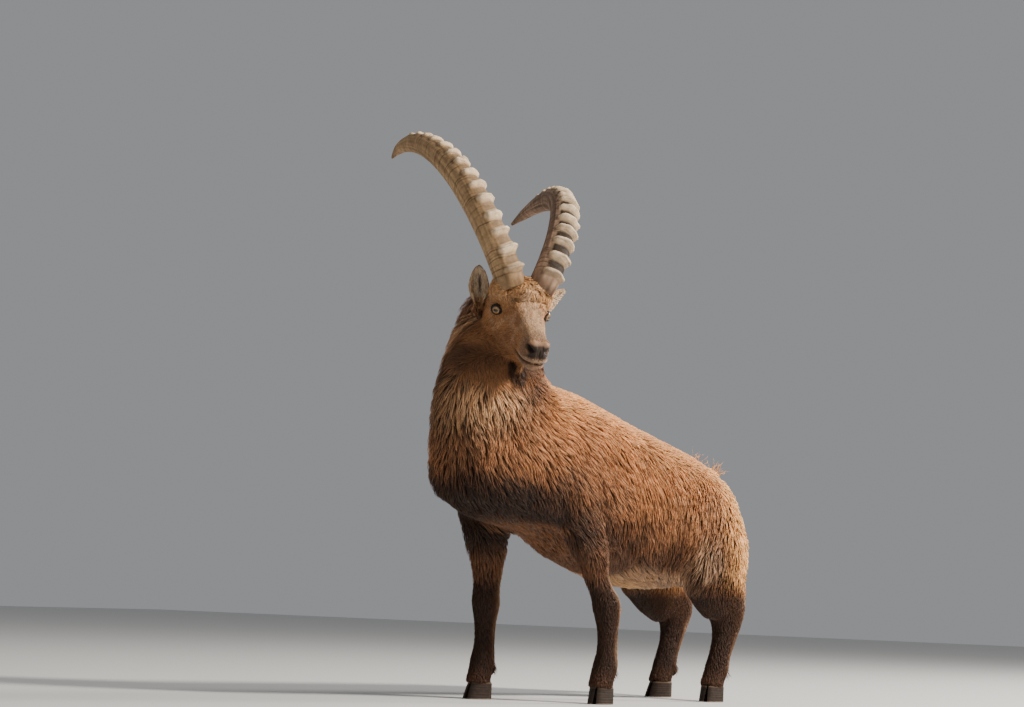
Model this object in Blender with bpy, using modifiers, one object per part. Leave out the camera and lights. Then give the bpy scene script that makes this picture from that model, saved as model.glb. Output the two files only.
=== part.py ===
"""Alpine ibex, adult male, life size, standing with its head turned to its left.

The body is lofted from named stations, fused to one surface, and parted by
thin cuts into the head, neck, trunk, tail and legs.  Horns, ears, eyes, claws
and dewclaws are solids of their own, each in a socket or against a flat.

Design frame: metres, +Z up, the animal faces -Y, its left side is +X and the
floor is z = 0.  The last step moves all to the centre of the footprint.
"""
import bpy
import bmesh
import numpy as np
from math import sin, cos, pi, radians
from mathutils import Vector

# ---------------------------------------------------------------- sizes
WITHERS = 0.880          # height of the back at the shoulder
GAP = 0.00040            # clearance between neighbouring solids
VOXEL = 0.0065           # grain of the fused body
FLESH_TRIS = 3210        # triangles of the fused body before it is parted
CENTRE = (-0.1090, 0.2402)  # centre of the footprint in the design frame

HEAD_AT = (0.126, -0.297, 1.097)     # midway between the horn bases
HEAD_YAW, HEAD_PITCH, HEAD_ROLL = 55.3, 29.5, -4.0
HEAD_SIZE = 1.056
HORN_APART = 0.0474       # half the distance between the horn axes at the skull
EYE_R = 0.0165
EYE_AT = (0.035, 0.0760, -0.068)      # surface of the eye, head frame, before HEAD_SIZE
EYE_AXIS = (0.42, 0.90, 0.10)

HOOF_TOP = 0.046         # height of the coronet
# Centres of the four feet on the floor, and the way each points
FEET = {
    "front_left": (0.170, 0.050, 14.0),
    "front_right": (-0.135, -0.085, -8.0),
    "hind_left": (0.148, 0.643, 12.0),
    "hind_right": (-0.115, 0.780, -12.0),
}

# y, top of back, underside, half width, height of the widest level
TRUNK = (
    (-0.388, 0.690, 0.575, 0.066, 0.635),
    (-0.345, 0.770, 0.515, 0.126, 0.630),
    (-0.275, 0.826, 0.480, 0.160, 0.625),
    (-0.180, 0.846, 0.462, 0.178, 0.630),
    (-0.070, 0.850, 0.450, 0.190, 0.625),
    (0.030, 0.840, 0.422, 0.198, 0.605),
    (0.140, 0.812, 0.376, 0.206, 0.580),
    (0.270, 0.780, 0.334, 0.214, 0.550),
    (0.400, 0.749, 0.312, 0.218, 0.525),
    (0.510, 0.724, 0.309, 0.215, 0.515),
    (0.610, 0.701, 0.320, 0.204, 0.510),
    (0.700, 0.675, 0.345, 0.172, 0.510),
    (0.760, 0.645, 0.380, 0.136, 0.510),
    (0.805, 0.606, 0.425, 0.096, 0.510),
    (0.832, 0.560, 0.475, 0.060, 0.510),
)
# x, y, z, half width across, half depth fore and aft
NECK = (
    (-0.010, -0.212, 0.545, 0.142, 0.170),
    (-0.008, -0.225, 0.605, 0.158, 0.188),
    (-0.002, -0.242, 0.690, 0.153, 0.189),
    (0.000, -0.256, 0.780, 0.137, 0.184),
    (-0.006, -0.244, 0.860, 0.126, 0.162),
    (-0.034, -0.202, 0.930, 0.121, 0.128),
    (-0.062, -0.166, 0.995, 0.110, 0.108),
    (-0.064, -0.166, 1.034, 0.094, 0.092),
    (-0.032, -0.184, 1.060, 0.066, 0.066),
)
# Legs: x, y, z, half width across, half depth fore and aft
# crest of the mane down to the withers: as the neck
CREST = (
    (-0.040, -0.010, 0.750, 0.085, 0.105),
    (-0.052, -0.040, 0.820, 0.074, 0.090),
    (-0.062, -0.062, 0.875, 0.060, 0.076),
    (-0.064, -0.084, 0.925, 0.056, 0.066),
    (-0.063, -0.104, 0.975, 0.054, 0.056),
    (-0.056, -0.124, 1.010, 0.045, 0.045),
)
FORELEG = {
    "left": (
        (0.118, -0.120, 0.660, 0.070, 0.105),
        (0.130, -0.060, 0.560, 0.066, 0.098),
        (0.138, -0.018, 0.480, 0.054, 0.074),
        (0.146, 0.014, 0.410, 0.043, 0.054),
        (0.155, 0.038, 0.335, 0.032, 0.037),
        (0.163, 0.056, 0.292, 0.032, 0.034),
        (0.169, 0.068, 0.262, 0.038, 0.041),
        (0.171, 0.072, 0.228, 0.033, 0.036),
        (0.172, 0.074, 0.190, 0.0275, 0.031),
        (0.172, 0.073, 0.140, 0.0275, 0.031),
        (0.171, 0.068, 0.100, 0.034, 0.036),
        (0.170, 0.056, 0.070, 0.032, 0.034),
        (0.170, 0.046, 0.036, 0.035, 0.037),
    ),
    "right": (
        (-0.118, -0.130, 0.660, 0.070, 0.105),
        (-0.128, -0.100, 0.560, 0.068, 0.100),
        (-0.130, -0.080, 0.480, 0.062, 0.084),
        (-0.132, -0.068, 0.410, 0.050, 0.062),
        (-0.134, -0.062, 0.335, 0.037, 0.044),
        (-0.135, -0.062, 0.292, 0.035, 0.038),
        (-0.135, -0.063, 0.262, 0.038, 0.041),
        (-0.135, -0.062, 0.228, 0.033, 0.036),
        (-0.135, -0.062, 0.190, 0.0275, 0.031),
        (-0.135, -0.064, 0.140, 0.0275, 0.031),
        (-0.135, -0.069, 0.100, 0.034, 0.036),
        (-0.135, -0.079, 0.070, 0.032, 0.034),
        (-0.135, -0.089, 0.036, 0.035, 0.037),
    ),
}
# Hind legs: x, y measured from the foot, z, half width, half depth.  The
# thigh runs forward to the stifle, the shank back to the hock.
HINDLEG = (
    (0.070, 0.050, 0.612, 0.040, 0.070),
    (0.100, 0.060, 0.552, 0.076, 0.130),
    (0.122, 0.037, 0.490, 0.084, 0.152),
    (0.138, 0.022, 0.410, 0.082, 0.152),
    (0.146, 0.031, 0.345, 0.065, 0.128),
    (0.146, 0.050, 0.297, 0.053, 0.103),
    (0.146, 0.066, 0.258, 0.046, 0.078),
    (0.146, 0.069, 0.220, 0.039, 0.055),
    (0.146, 0.060, 0.178, 0.032, 0.041),
    (0.146, 0.042, 0.132, 0.030, 0.035),
    (0.146, 0.028, 0.096, 0.034, 0.036),
    (0.146, 0.012, 0.068, 0.032, 0.034),
    (0.146, -0.002, 0.036, 0.035, 0.037),
)
# Masses of muscle and coat: x, y, z, half sizes along X, Y and Z
MASSES = (
    (0.108, -0.120, 0.620, 0.084, 0.135, 0.160),     # shoulders
)
TAIL = (
    (0.0, 0.735, 0.622, 0.040, 0.034),
    (0.0, 0.785, 0.636, 0.034, 0.028),
    (0.0, 0.825, 0.645, 0.030, 0.024),
    (0.0, 0.855, 0.640, 0.025, 0.020),
    (0.0, 0.874, 0.626, 0.012, 0.010),
)
# Head frame: F towards the nose, L to the animal's left, U up; before HEAD_SIZE.
# f, top, underside, half width, level of the widest place
HEAD = (
    (-0.098, -0.040, -0.125, 0.032, -0.080),
    (-0.080, -0.018, -0.155, 0.062, -0.085),
    (-0.045, -0.004, -0.176, 0.074, -0.086),
    (-0.010, 0.001, -0.185, 0.073, -0.084),
    (0.025, -0.004, -0.189, 0.069, -0.080),
    (0.055, -0.016, -0.185, 0.061, -0.082),
    (0.085, -0.030, -0.182, 0.050, -0.086),
    (0.115, -0.043, -0.170, 0.041, -0.090),
    (0.145, -0.054, -0.157, 0.0345, -0.096),
    (0.172, -0.062, -0.151, 0.0325, -0.102),
    (0.193, -0.068, -0.149, 0.0300, -0.105),
    (0.207, -0.078, -0.138, 0.0230, -0.106),
    (0.214, -0.092, -0.122, 0.012, -0.107),
)
# f, l, u, half sizes: mirrored to both sides
HEAD_MASSES = (
    (0.026, 0.045, -0.056, 0.034, 0.020, 0.026),      # orbit
    (-0.006, 0.045, -0.122, 0.058, 0.030, 0.054),     # cheek
    (0.058, 0.026, -0.152, 0.054, 0.023, 0.028),      # jaw
    (0.188, 0.016, -0.084, 0.022, 0.0135, 0.019),      # nostril wing
    (-0.004, 0.046, -0.034, 0.050, 0.038, 0.048),     # horn pedicle
)
HEAD_SINGLE = (
    (0.018, 0.0, -0.012, 0.050, 0.052, 0.031),        # woolly forehead
    (0.176, 0.0, -0.142, 0.024, 0.019, 0.013),        # chin
    (0.104, 0.0, -0.178, 0.032, 0.015, 0.028),        # beard
)
# Horns: first bend, bend per length (and its changes), spread (and changes)
HORNS = {
    "right": (-1, 0.6718, 1.9504, 0.8162, -0.9503, 0.4006, -0.2626, -0.2704, 0.8212),
    "left": (1, 0.729, 3.2317, -3.0098, 1.2684, 0.4207, -0.2479, -0.3204, 0.8035),
}
HORN_KNOBS = 14
KNOBBED = 0.82           # share of the horn that carries knobs
EARS = {                 # base, tip and the way the cup opens, head frame
    "right": ((-0.052, -0.082, -0.092), (-0.060, -0.107, 0.004), (0.86, -0.42, 0.05)),
    "left": ((-0.050, 0.076, -0.086), (-0.124, 0.166, -0.060), (0.80, 0.60, -0.10)),
}
EAR_WIDTH = 0.049
EAR_WALL = 0.0050


# ---------------------------------------------------------------- helpers
def clear():
    for ob in list(bpy.data.objects):
        bpy.data.objects.remove(ob, do_unlink=True)


clear()
MODEL = bpy.data.collections.new("alpine_ibex")
TOOLS = bpy.data.collections.new("cutters")
bpy.context.scene.collection.children.link(MODEL)
bpy.context.scene.collection.children.link(TOOLS)


def material(name, colour, rough):
    m = bpy.data.materials.new(name)
    m.use_nodes = True
    p = m.node_tree.nodes["Principled BSDF"]
    p.inputs["Base Color"].default_value = (*colour, 1.0)
    p.inputs["Roughness"].default_value = rough
    p.inputs["Metallic"].default_value = 0.0
    m.diffuse_color = (*colour, 1.0)
    return m


def to_object(name, bm, coll=MODEL):
    mesh = bpy.data.meshes.new(name)
    bm.normal_update()
    bm.to_mesh(mesh)
    bm.free()
    ob = bpy.data.objects.new(name, mesh)
    coll.objects.link(ob)
    if coll is TOOLS:
        ob.hide_render = True
        ob.display_type = "WIRE"
    return ob


def smooth_rows(stations, k):
    """Catmull-Rom rows through a station table, k steps to an interval."""
    s = np.array(stations, float)
    p = np.vstack([2 * s[0] - s[1], s, 2 * s[-1] - s[-2]])
    rows = []
    for i in range(len(s) - 1):
        a, b, c, d = p[i:i + 4]
        for j in range(k):
            t = j / k
            rows.append(0.5 * (2 * b + (c - a) * t + (2 * a - 5 * b + 4 * c - d) * t * t
                               + (3 * b - a - 3 * c + d) * t ** 3))
    rows.append(s[-1])
    return np.array(rows)


def power_ring(centre, e1, e2, r1, up, down, n, power):
    """Closed ring: r1 along e1, up or down along e2, rounded by power."""
    pts = []
    for i in range(n):
        t = 2 * pi * i / n
        c, s = cos(t), sin(t)
        cc = np.sign(c) * abs(c) ** (2 / power)
        ss = np.sign(s) * abs(s) ** (2 / power)
        pts.append(centre + e1 * r1 * cc + e2 * (up if s >= 0 else down) * ss)
    return pts


def loft(rings):
    """Skin through rings of equal count, with a flat cap at each end."""
    bm = bmesh.new()
    vs = [[bm.verts.new(p) for p in ring] for ring in rings]
    n = len(vs[0])
    for a, b in zip(vs, vs[1:]):
        for i in range(n):
            j = (i + 1) % n
            bm.faces.new((a[i], a[j], b[j]))
            bm.faces.new((a[i], b[j], b[i]))
    bm.faces.new(vs[0][::-1])
    bm.faces.new(vs[-1])
    bmesh.ops.recalc_face_normals(bm, faces=bm.faces)
    return bm


def unit(v):
    v = np.array(v, float)
    return v / np.linalg.norm(v)


def tube(stations, k=4, n=20, power=2.1):
    """Limb through x, y, z, half width across X, half depth."""
    rows = smooth_rows(stations, k)
    pos = rows[:, :3]
    tan = np.gradient(pos, axis=0)
    rings = []
    for p, t, r in zip(pos, tan, rows):
        t = unit(t)
        side = unit(np.array([1.0, 0, 0]) - t * t[0])
        fore = np.cross(t, side)
        rings.append(power_ring(p, side, fore, r[3], r[4], r[4], n, power))
    return loft(rings)


def ellipsoid(centre, radii, axes=None, u=20, v=12):
    bm = bmesh.new()
    bmesh.ops.create_uvsphere(bm, u_segments=u, v_segments=v, radius=1.0)
    a = np.eye(3) if axes is None else np.array(axes)
    for w in bm.verts:
        q = np.array(w.co) * np.array(radii)
        w.co = Vector(np.array(centre) + q @ a)
    bmesh.ops.recalc_face_normals(bm, faces=bm.faces)
    return bm


def merge(bms):
    out = bmesh.new()
    for b in bms:
        tmp = bpy.data.meshes.new("tmp")
        b.to_mesh(tmp)
        b.free()
        out.from_mesh(tmp)
        bpy.data.meshes.remove(tmp)
    return out


def baked(ob):
    """Replace an object's mesh by what its modifiers make of it."""
    deps = bpy.context.evaluated_depsgraph_get()
    mesh = bpy.data.meshes.new_from_object(ob.evaluated_get(deps))
    ob.modifiers.clear()
    ob.data = mesh
    return ob


def modified(ob, kind, **values):
    m = ob.modifiers.new(kind.lower(), kind)
    for key, value in values.items():
        setattr(m, key, value)
    return baked(ob)


def cut(ob, cutter):
    modified(ob, "BOOLEAN", operation="DIFFERENCE", solver="EXACT", object=cutter)
    bm = bmesh.new()
    bm.from_mesh(ob.data)
    bmesh.ops.remove_doubles(bm, verts=bm.verts, dist=1e-6)
    bmesh.ops.dissolve_degenerate(bm, dist=1e-6, edges=bm.edges)
    bmesh.ops.triangulate(bm, faces=bm.faces)
    bm.to_mesh(ob.data)
    bm.free()
    return ob


def slab(name, centre, normal, width, height, roll=(1, 0, 0)):
    """Thin cutting sheet, GAP thick, across normal."""
    n = unit(normal)
    a = unit(np.array(roll, float) - n * np.dot(roll, n))
    b = np.cross(n, a)
    bm = bmesh.new()
    bmesh.ops.create_cube(bm, size=1.0)
    for w in bm.verts:
        q = np.array(w.co)
        w.co = Vector(np.array(centre) + a * q[0] * width + b * q[1] * height + n * q[2] * GAP)
    bmesh.ops.recalc_face_normals(bm, faces=bm.faces)
    return to_object(name, bm, TOOLS)


def loose_parts(ob):
    """Split a mesh into its separate bodies, largest first."""
    bm = bmesh.new()
    bm.from_mesh(ob.data)
    bm.verts.ensure_lookup_table()
    left, groups = set(range(len(bm.verts))), []
    while left:
        seed = left.pop()
        group, stack = {seed}, [seed]
        while stack:
            for e in bm.verts[stack.pop()].link_edges:
                for w in e.verts:
                    if w.index not in group:
                        group.add(w.index)
                        left.discard(w.index)
                        stack.append(w.index)
        groups.append(group)
    parts = []
    for group in groups:
        part = bm.copy()
        bmesh.ops.delete(part, geom=[w for w in part.verts if w.index not in group], context="VERTS")
        parts.append(part)
    bm.free()
    parts.sort(key=lambda b: -b.calc_volume())
    return parts


# ---------------------------------------------------------------- head frame
def head_axes():
    y, p, r = radians(HEAD_YAW), radians(HEAD_PITCH), radians(HEAD_ROLL)
    f = np.array([sin(y) * cos(p), -cos(y) * cos(p), -sin(p)])
    lv = np.array([cos(y), sin(y), 0.0])
    u = np.cross(f, lv)
    return np.array([f, cos(r) * lv + sin(r) * u, -sin(r) * lv + cos(r) * u])


AX = head_axes()


def head_point(p):
    return np.array(HEAD_AT) + HEAD_SIZE * (np.array(p, float) @ AX)


# ---------------------------------------------------------------- flesh
def trunk():
    rows = smooth_rows(TRUNK, 4)
    x, z = np.array([1.0, 0, 0]), np.array([0, 0, 1.0])
    return loft([power_ring(np.array([0, y, m]), x, z, w, top - m, m - low, 28, 2.15)
                 for y, top, low, w, m in rows])


def head():
    rows = smooth_rows(HEAD, 3)
    s = HEAD_SIZE
    return loft([power_ring(head_point((f, 0, m)), AX[1], AX[2], w * s, (top - m) * s, (m - low) * s, 22, 2.25)
                 for f, top, low, w, m in rows])


def hind_leg(side):
    s = 1 if side == "left" else -1
    fx, fy, _ = FEET["hind_" + side]
    rows = []
    for x, y, z, w, d in HINDLEG:
        blend = min(1.0, max(0.0, (0.62 - z) / 0.36))       # the hip stays, the foot steps
        hip_y = 0.655 + (0.000 if s > 0 else 0.008)
        yy = (hip_y + y - 0.075) * (1 - blend) + (fy + y) * blend
        xx = s * x * (1 - blend) + (fx + s * (x - 0.146)) * blend
        rows.append((xx, yy, z, w, d))
    return tube(rows, k=4, n=22)


def head_masses():
    out = []
    for f, l, u, a, b, c in HEAD_MASSES:
        for s in (1, -1):
            out.append(ellipsoid(head_point((f, s * l, u)), np.array((a, b, c)) * HEAD_SIZE, AX))
    for f, l, u, a, b, c in HEAD_SINGLE:
        out.append(ellipsoid(head_point((f, l, u)), np.array((a, b, c)) * HEAD_SIZE, AX))
    return out


def open_edges(ob):
    bm = bmesh.new()
    bm.from_mesh(ob.data)
    bad = sum(1 for e in bm.edges if len(e.link_faces) != 2)
    bm.free()
    return bad


def fused_body():
    limbs = [tube(FORELEG[s], k=3, n=20) for s in ("left", "right")] + [hind_leg(s) for s in ("left", "right")]
    bulk = [trunk(), tube(NECK, k=4, n=26), tube(CREST, k=4, n=18)] + [ellipsoid((s * x, y, z), (a, b, c))
                                               for x, y, z, a, b, c in MASSES for s in (1, -1)]
    # first the large masses, well blended, then the head, tail and lower legs
    ob = to_object("flesh", merge(bulk + [b.copy() for b in limbs]))
    modified(ob, "REMESH", mode="VOXEL", voxel_size=0.010)
    modified(ob, "SMOOTH", factor=0.5, iterations=16)
    rest = merge([head(), tube(TAIL, k=4, n=14)] + limbs + head_masses())
    rest.from_mesh(ob.data)
    rest.to_mesh(ob.data)
    rest.free()
    modified(ob, "REMESH", mode="VOXEL", voxel_size=VOXEL)
    modified(ob, "SMOOTH", factor=0.5, iterations=5)
    tris = len(ob.data.polygons) * 2
    modified(ob, "DECIMATE", decimate_type="COLLAPSE", ratio=FLESH_TRIS / tris)
    print("open edges after thinning", open_edges(ob))
    bm = bmesh.new()
    bm.from_mesh(ob.data)
    bmesh.ops.triangulate(bm, faces=bm.faces)
    geom = bm.verts[:] + bm.edges[:] + bm.faces[:]
    bmesh.ops.bisect_plane(bm, geom=geom, dist=1e-6, plane_co=(0, 0, HOOF_TOP + GAP), plane_no=(0, 0, -1), clear_outer=True)
    bmesh.ops.holes_fill(bm, edges=[e for e in bm.edges if len(e.link_faces) == 1], sides=0)
    bmesh.ops.triangulate(bm, faces=bm.faces)
    bmesh.ops.recalc_face_normals(bm, faces=bm.faces)
    bm.to_mesh(ob.data)
    bm.free()
    print("open edges after the coronets", open_edges(ob))
    return ob


# ---------------------------------------------------------------- horns, ears, eyes
def horn_line(side, steps):
    """Points, tangents, front normals and side vectors along a horn."""
    sg, ph0, k0, k1, k2, de0, de1, de2, length = HORNS[side]
    p = np.array([0.0, sg * HORN_APART, 0.0])
    out = []
    last = 0.0
    for u in steps:
        m = 0.5 * (u + last)
        for q in (m,):
            ph = ph0 + length * (k0 * q + 0.5 * k1 * q * q + k2 * q ** 3 / 3)
            de = de0 + de1 * q + de2 * q * q
            t = np.array([-sin(ph) * cos(de), sg * sin(de), cos(ph) * cos(de)])
            p = p + t * length * (u - last)
        ph = ph0 + length * (k0 * u + 0.5 * k1 * u * u + k2 * u ** 3 / 3)
        de = de0 + de1 * u + de2 * u * u
        t = np.array([-sin(ph) * cos(de), sg * sin(de), cos(ph) * cos(de)])
        n = np.array([cos(ph), 0, sin(ph)])
        out.append((np.array(HEAD_AT) + p @ AX, t @ AX, n @ AX, np.cross(t, n) @ AX))
        last = u
    return out


def horn_section(u):
    """Half depth front to back and half width of a horn at u."""
    depth = np.interp(u, (-0.05, 0.0, 0.3, 0.5, 0.65, 0.8, 0.92, 1.0), (0.028, 0.0450, 0.0425, 0.0370, 0.0305, 0.0230, 0.0142, 0.0045))
    width = np.interp(u, (-0.05, 0.0, 0.3, 0.6, 0.8, 0.92, 1.0), (0.022, 0.0365, 0.0350, 0.0290, 0.0200, 0.0120, 0.0035))
    return depth, width


def horn(side, grow=0.0, first=-0.030):
    steps, knob = [first, 0.0], [0.0, 0.0]
    for i in range(HORN_KNOBS):
        a, b = KNOBBED * i / HORN_KNOBS, KNOBBED * (i + 1) / HORN_KNOBS
        steps += [a + 0.30 * (b - a), a + 0.62 * (b - a), b]
        size = 1.0 - 0.45 * (i / HORN_KNOBS)
        knob += [0.0075 * size, 0.0105 * size, 0.0]
    steps += [0.91, 0.955, 1.0]
    knob += [0.0, 0.0, 0.0]
    rings = []
    fine = sorted(set(steps) | {i / 120 for i in range(121)})
    line = {round(u, 6): row for u, row in zip([first] + fine[1:], horn_line(side, [first] + fine[1:]))}
    base = horn_line(side, [first])[0]
    for u, k in zip(steps, knob):
        p, t, n, b = base if u == first else line[round(u, 6)]
        d, w = horn_section(u)
        ring = []
        for i in range(9):
            a = 2 * pi * i / 9
            c, s = cos(a), sin(a)
            front = max(0.0, c) ** 1.5
            depth = (d + grow) * np.sign(c) * abs(c) ** 0.85 + k * front
            width = (w + grow + 0.35 * k * front) * s * (1.0 + 0.16 * c)
            ring.append(p + n * depth + b * width)
        rings.append(ring)
    return loft(rings)


def ear(side, grow=0.0):
    base, tip, opens = (head_point(EARS[side][0]), head_point(EARS[side][1]), np.array(EARS[side][2]) @ AX)
    axis = tip - base
    length = np.linalg.norm(axis)
    axis = axis / length
    face = unit(opens - axis * np.dot(opens, axis))
    across = np.cross(axis, face)
    rings = []
    for u in (-0.10 - grow / length, 0.08, 0.22, 0.38, 0.55, 0.72, 0.87, 0.96, 1.0):
        w = EAR_WIDTH * 0.5 * np.interp(u, (-0.1, 0.08, 0.3, 0.5, 0.72, 0.87, 0.96, 1.0),
                                        (0.40, 0.55, 0.90, 1.0, 0.84, 0.56, 0.27, 0.10))
        curl = radians(np.interp(u, (-0.1, 0.2, 0.6, 1.0), (150, 118, 82, 40)))
        wall = EAR_WALL * np.interp(u, (0, 0.9, 1), (1.4, 1.0, 0.5))
        r = w / sin(min(curl, pi / 2))
        back = face * r * cos(curl / 2)
        curl += 1.6 * grow / r
        mid = base + axis * length * u - face * 0.10 * length * sin(pi * max(u, 0)) * 0.6
        hub = mid + back
        outer, inner = [], []
        for i in range(7):
            a = -curl + 2 * curl * i / 6
            wide = r + wall / 2 + grow
            close = max(r - wall / 2 - grow, 0.0006)
            outer.append(hub - face * wide * cos(a) + across * wide * sin(a))
            if 0 < i < 6:
                inner.append(hub - face * close * cos(a) + across * close * sin(a))
        rings.append(outer + inner[::-1])
    return loft(rings)


def eye(side, grow=0.0):
    s = 1 if side == "left" else -1
    f, l, u = EYE_AT
    surface = head_point((f, s * l, u))
    axis = unit(np.array((EYE_AXIS[0], s * EYE_AXIS[1], EYE_AXIS[2])) @ AX)
    return ellipsoid(surface - axis * EYE_R, [EYE_R + grow] * 3, u=12, v=8)


# ---------------------------------------------------------------- feet
def turned(p, foot):
    """Local forward, left and up of a foot to the design frame."""
    x, y, yaw = FEET[foot]
    a = radians(yaw)
    return np.array([x + sin(a) * p[0] + cos(a) * p[1], y - cos(a) * p[0] + sin(a) * p[1], p[2]])


def claw(foot, s):
    """One half of a cloven hoof: flat sole, sloping toe, flat inner wall."""
    rings = []
    for h in (0.0, 0.35, 0.72, 1.0):
        toe = 0.047 - 0.014 * h - 0.005 * h * h
        heel = -0.035 + 0.001 * h
        wide = 0.0300 - 0.0010 * h
        ring = []
        for i in range(10):
            t = 2 * pi * i / 10
            f = 0.5 * (toe + heel) + 0.5 * (toe - heel) * cos(t)
            body = abs(sin(t)) * (1.0 - 0.30 * cos(t))
            near = 0.0022 + 0.0035 * max(0.0, cos(t)) * (1 - h)
            l = near + (wide * body if sin(t) > 0 else 0.0020 * body)
            ring.append(turned((f, s * l, HOOF_TOP * h), foot))
        rings.append(ring)
    return loft(rings)


def dewclaw(foot, s, grow=0.0):
    fore = foot.startswith("front")
    y = -0.0385 if fore else -0.0500
    c = turned((y - 0.004, s * 0.0150, 0.0760), foot)
    return ellipsoid(c, (0.0085 + grow, 0.0105 + grow, 0.0125 + grow), u=7, v=5)


# ---------------------------------------------------------------- build
COAT = material("coat", (0.36, 0.16, 0.06), 0.9)
PALE = material("pale_coat", (0.45, 0.30, 0.18), 0.9)
DARK = material("dark_coat", (0.07, 0.035, 0.02), 0.9)
HORN = material("horn", (0.42, 0.33, 0.23), 0.65)
HOOF = material("hoof", (0.05, 0.04, 0.035), 0.5)
IRIS = material("eye", (0.45, 0.28, 0.08), 0.12)


def finish(name, bm, mat):
    bmesh.ops.remove_doubles(bm, verts=bm.verts, dist=1e-6)
    bmesh.ops.triangulate(bm, faces=bm.faces)
    for w in bm.verts:
        w.co.x -= CENTRE[0]
        w.co.y -= CENTRE[1]
    ob = to_object(name, bm)
    ob.data.materials.append(mat)
    ob.data.shade_smooth()
    ob.data.set_sharp_from_angle(angle=radians(50))
    return ob


def build():
    body = fused_body()
    cutters = []
    # head from neck: a sheet under the jaw that rises to the nape
    jaw = head_point((-0.020, 0, -0.172))
    ahead = np.array([sin(radians(HEAD_YAW)), -cos(radians(HEAD_YAW)), 0.0])
    nrm = unit(0.55 * ahead + np.array([0, 0, 0.83]))
    mid = jaw - 0.008 * nrm - 0.040 * unit(ahead - nrm * np.dot(ahead, nrm))
    cutters.append(slab("cut_head", mid, nrm, 0.46, 0.60, AX[1]))
    # trunk from neck: from before the withers down to the breast
    a, b = np.array([0, -0.070, 0.868]), np.array([0, -0.440, 0.630])
    cutters.append(slab("cut_neck", (a + b) / 2, np.cross(b - a, (1, 0, 0)), 0.46, 0.74))
    # legs from trunk: sheets that fall towards the middle
    for side, s in (("left", 1), ("right", -1)):
        y, z = (-0.005, 0.420) if s > 0 else (-0.078, 0.435)
        cutters.append(slab("cut_foreleg_" + side, (s * 0.146, y, z), (s * -0.35, 0.30, 1), 0.18, 0.23))
        cutters.append(slab("cut_knee_" + side, (FORELEG[side][6][0], FORELEG[side][6][1], 0.262), (0, 0, 1), 0.12, 0.12))
        fx, fy, _ = FEET["hind_" + side]
        cutters.append(slab("cut_hindleg_" + side, (s * 0.146, fy + 0.035, 0.335), (s * -0.45, 0, 1), 0.20, 0.46))
        cutters.append(slab("cut_hock_" + side, (fx, fy + 0.066, 0.1950), (0, 0.45, 1), 0.13, 0.17))
    cutters.append(slab("cut_tail", (0, 0.814, 0.643), (0, 1, 0.1), 0.10, 0.10))
    for c in cutters:
        cut(body, c)
        print(c.name, len(loose_parts(body)), open_edges(body))
    named = {}
    for part in loose_parts(body):
        c = sum((w.co for w in part.verts), Vector()) / len(part.verts)
        side = "left" if c.x > 0 else "right"
        print("piece", [round(v, 3) for v in c], len(part.faces), round(part.calc_volume() * 1000, 3))
        if part.calc_volume() < 2e-6:
            part.free()
            continue
        if c.z > 0.94:
            name = "head"
        elif c.z > 0.70 and c.y < -0.1:
            name = "neck"
        elif len(part.faces) > 1500:
            name = "trunk"
        elif c.y > 0.80 and c.z > 0.55:
            name = "tail"
        elif c.y < 0.3:
            name = ("forearm_" if c.z > 0.27 else "forefoot_") + side
        else:
            name = ("shank_" if c.z > 0.21 else "hindfoot_") + side
        if name in named:
            raise RuntimeError("two pieces would be " + name)
        named[name] = part
    bpy.data.objects.remove(body, do_unlink=True)

    flesh = {name: to_object("raw_" + name, bm) for name, bm in named.items()}
    for side in ("left", "right"):
        cut(flesh["head"], to_object("socket_horn_" + side, horn(side, grow=GAP, first=-0.0305), TOOLS))
        cut(flesh["head"], to_object("socket_ear_" + side, ear(side, grow=GAP), TOOLS))
        cut(flesh["head"], to_object("socket_eye_" + side, eye(side, grow=GAP), TOOLS))
    for foot in FEET:
        end, side = foot.split("_")
        leg = flesh[("forefoot_" if end == "front" else "hindfoot_") + side]
        for s in (1, -1):
            cut(leg, to_object("socket_dew_%s_%d" % (foot, s), dewclaw(foot, s, grow=GAP), TOOLS))
    for name, ob in flesh.items():
        bodies = loose_parts(ob)
        for scrap in bodies[1:]:
            print("scrap of", name, round(scrap.calc_volume() * 1e6, 3))
            scrap.free()
        mat = DARK if ("foot" in name or "shank" in name or "forearm" in name) else COAT
        finish(name, bodies[0], mat)
        bpy.data.objects.remove(ob, do_unlink=True)
    for side in ("left", "right"):
        finish("horn_" + side, horn(side), HORN)
        finish("ear_" + side, ear(side), PALE)
        finish("eye_" + side, eye(side), IRIS)
    for foot in FEET:
        end, side = foot.split("_")
        for s in (1, -1):
            where = "outer" if (s > 0) == (side == "left") else "inner"
            finish("claw_%s_%s" % (foot, where), claw(foot, s), HOOF)
            finish("dewclaw_%s_%s" % (foot, where), dewclaw(foot, s), HOOF)
    lo, hi = np.full(3, 9.0), np.full(3, -9.0)
    total = 0
    for ob in MODEL.objects:
        v = np.array([w.co for w in ob.data.vertices])
        lo, hi = np.minimum(lo, v.min(0)), np.maximum(hi, v.max(0))
        total += sum(len(p.vertices) - 2 for p in ob.data.polygons)
    print("box", lo.round(4), hi.round(4), "triangles", total)
    print("centre to use", ((lo + hi) / 2 + np.array([CENTRE[0], CENTRE[1], 0])).round(4))


build()
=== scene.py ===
"""Alpine ibex: the looks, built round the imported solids.

One skin replaces the nodes of flesh and lies inside them by the coat's depth;
the coat is joined meshes of tufts that follow the lie of the hair.  Horns,
eyes, claws and dewclaws are pieces of their own.

Work is done in the design frame of the body (the animal faces -Y, its left is
+X, the floor is z = 0) and moved by CENTRE at the end.
"""
import bpy
import bmesh
import numpy as np
from math import sin, cos, pi, radians
from mathutils import Matrix, Vector
from mathutils.bvhtree import BVHTree
from mathutils.kdtree import KDTree


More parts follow.
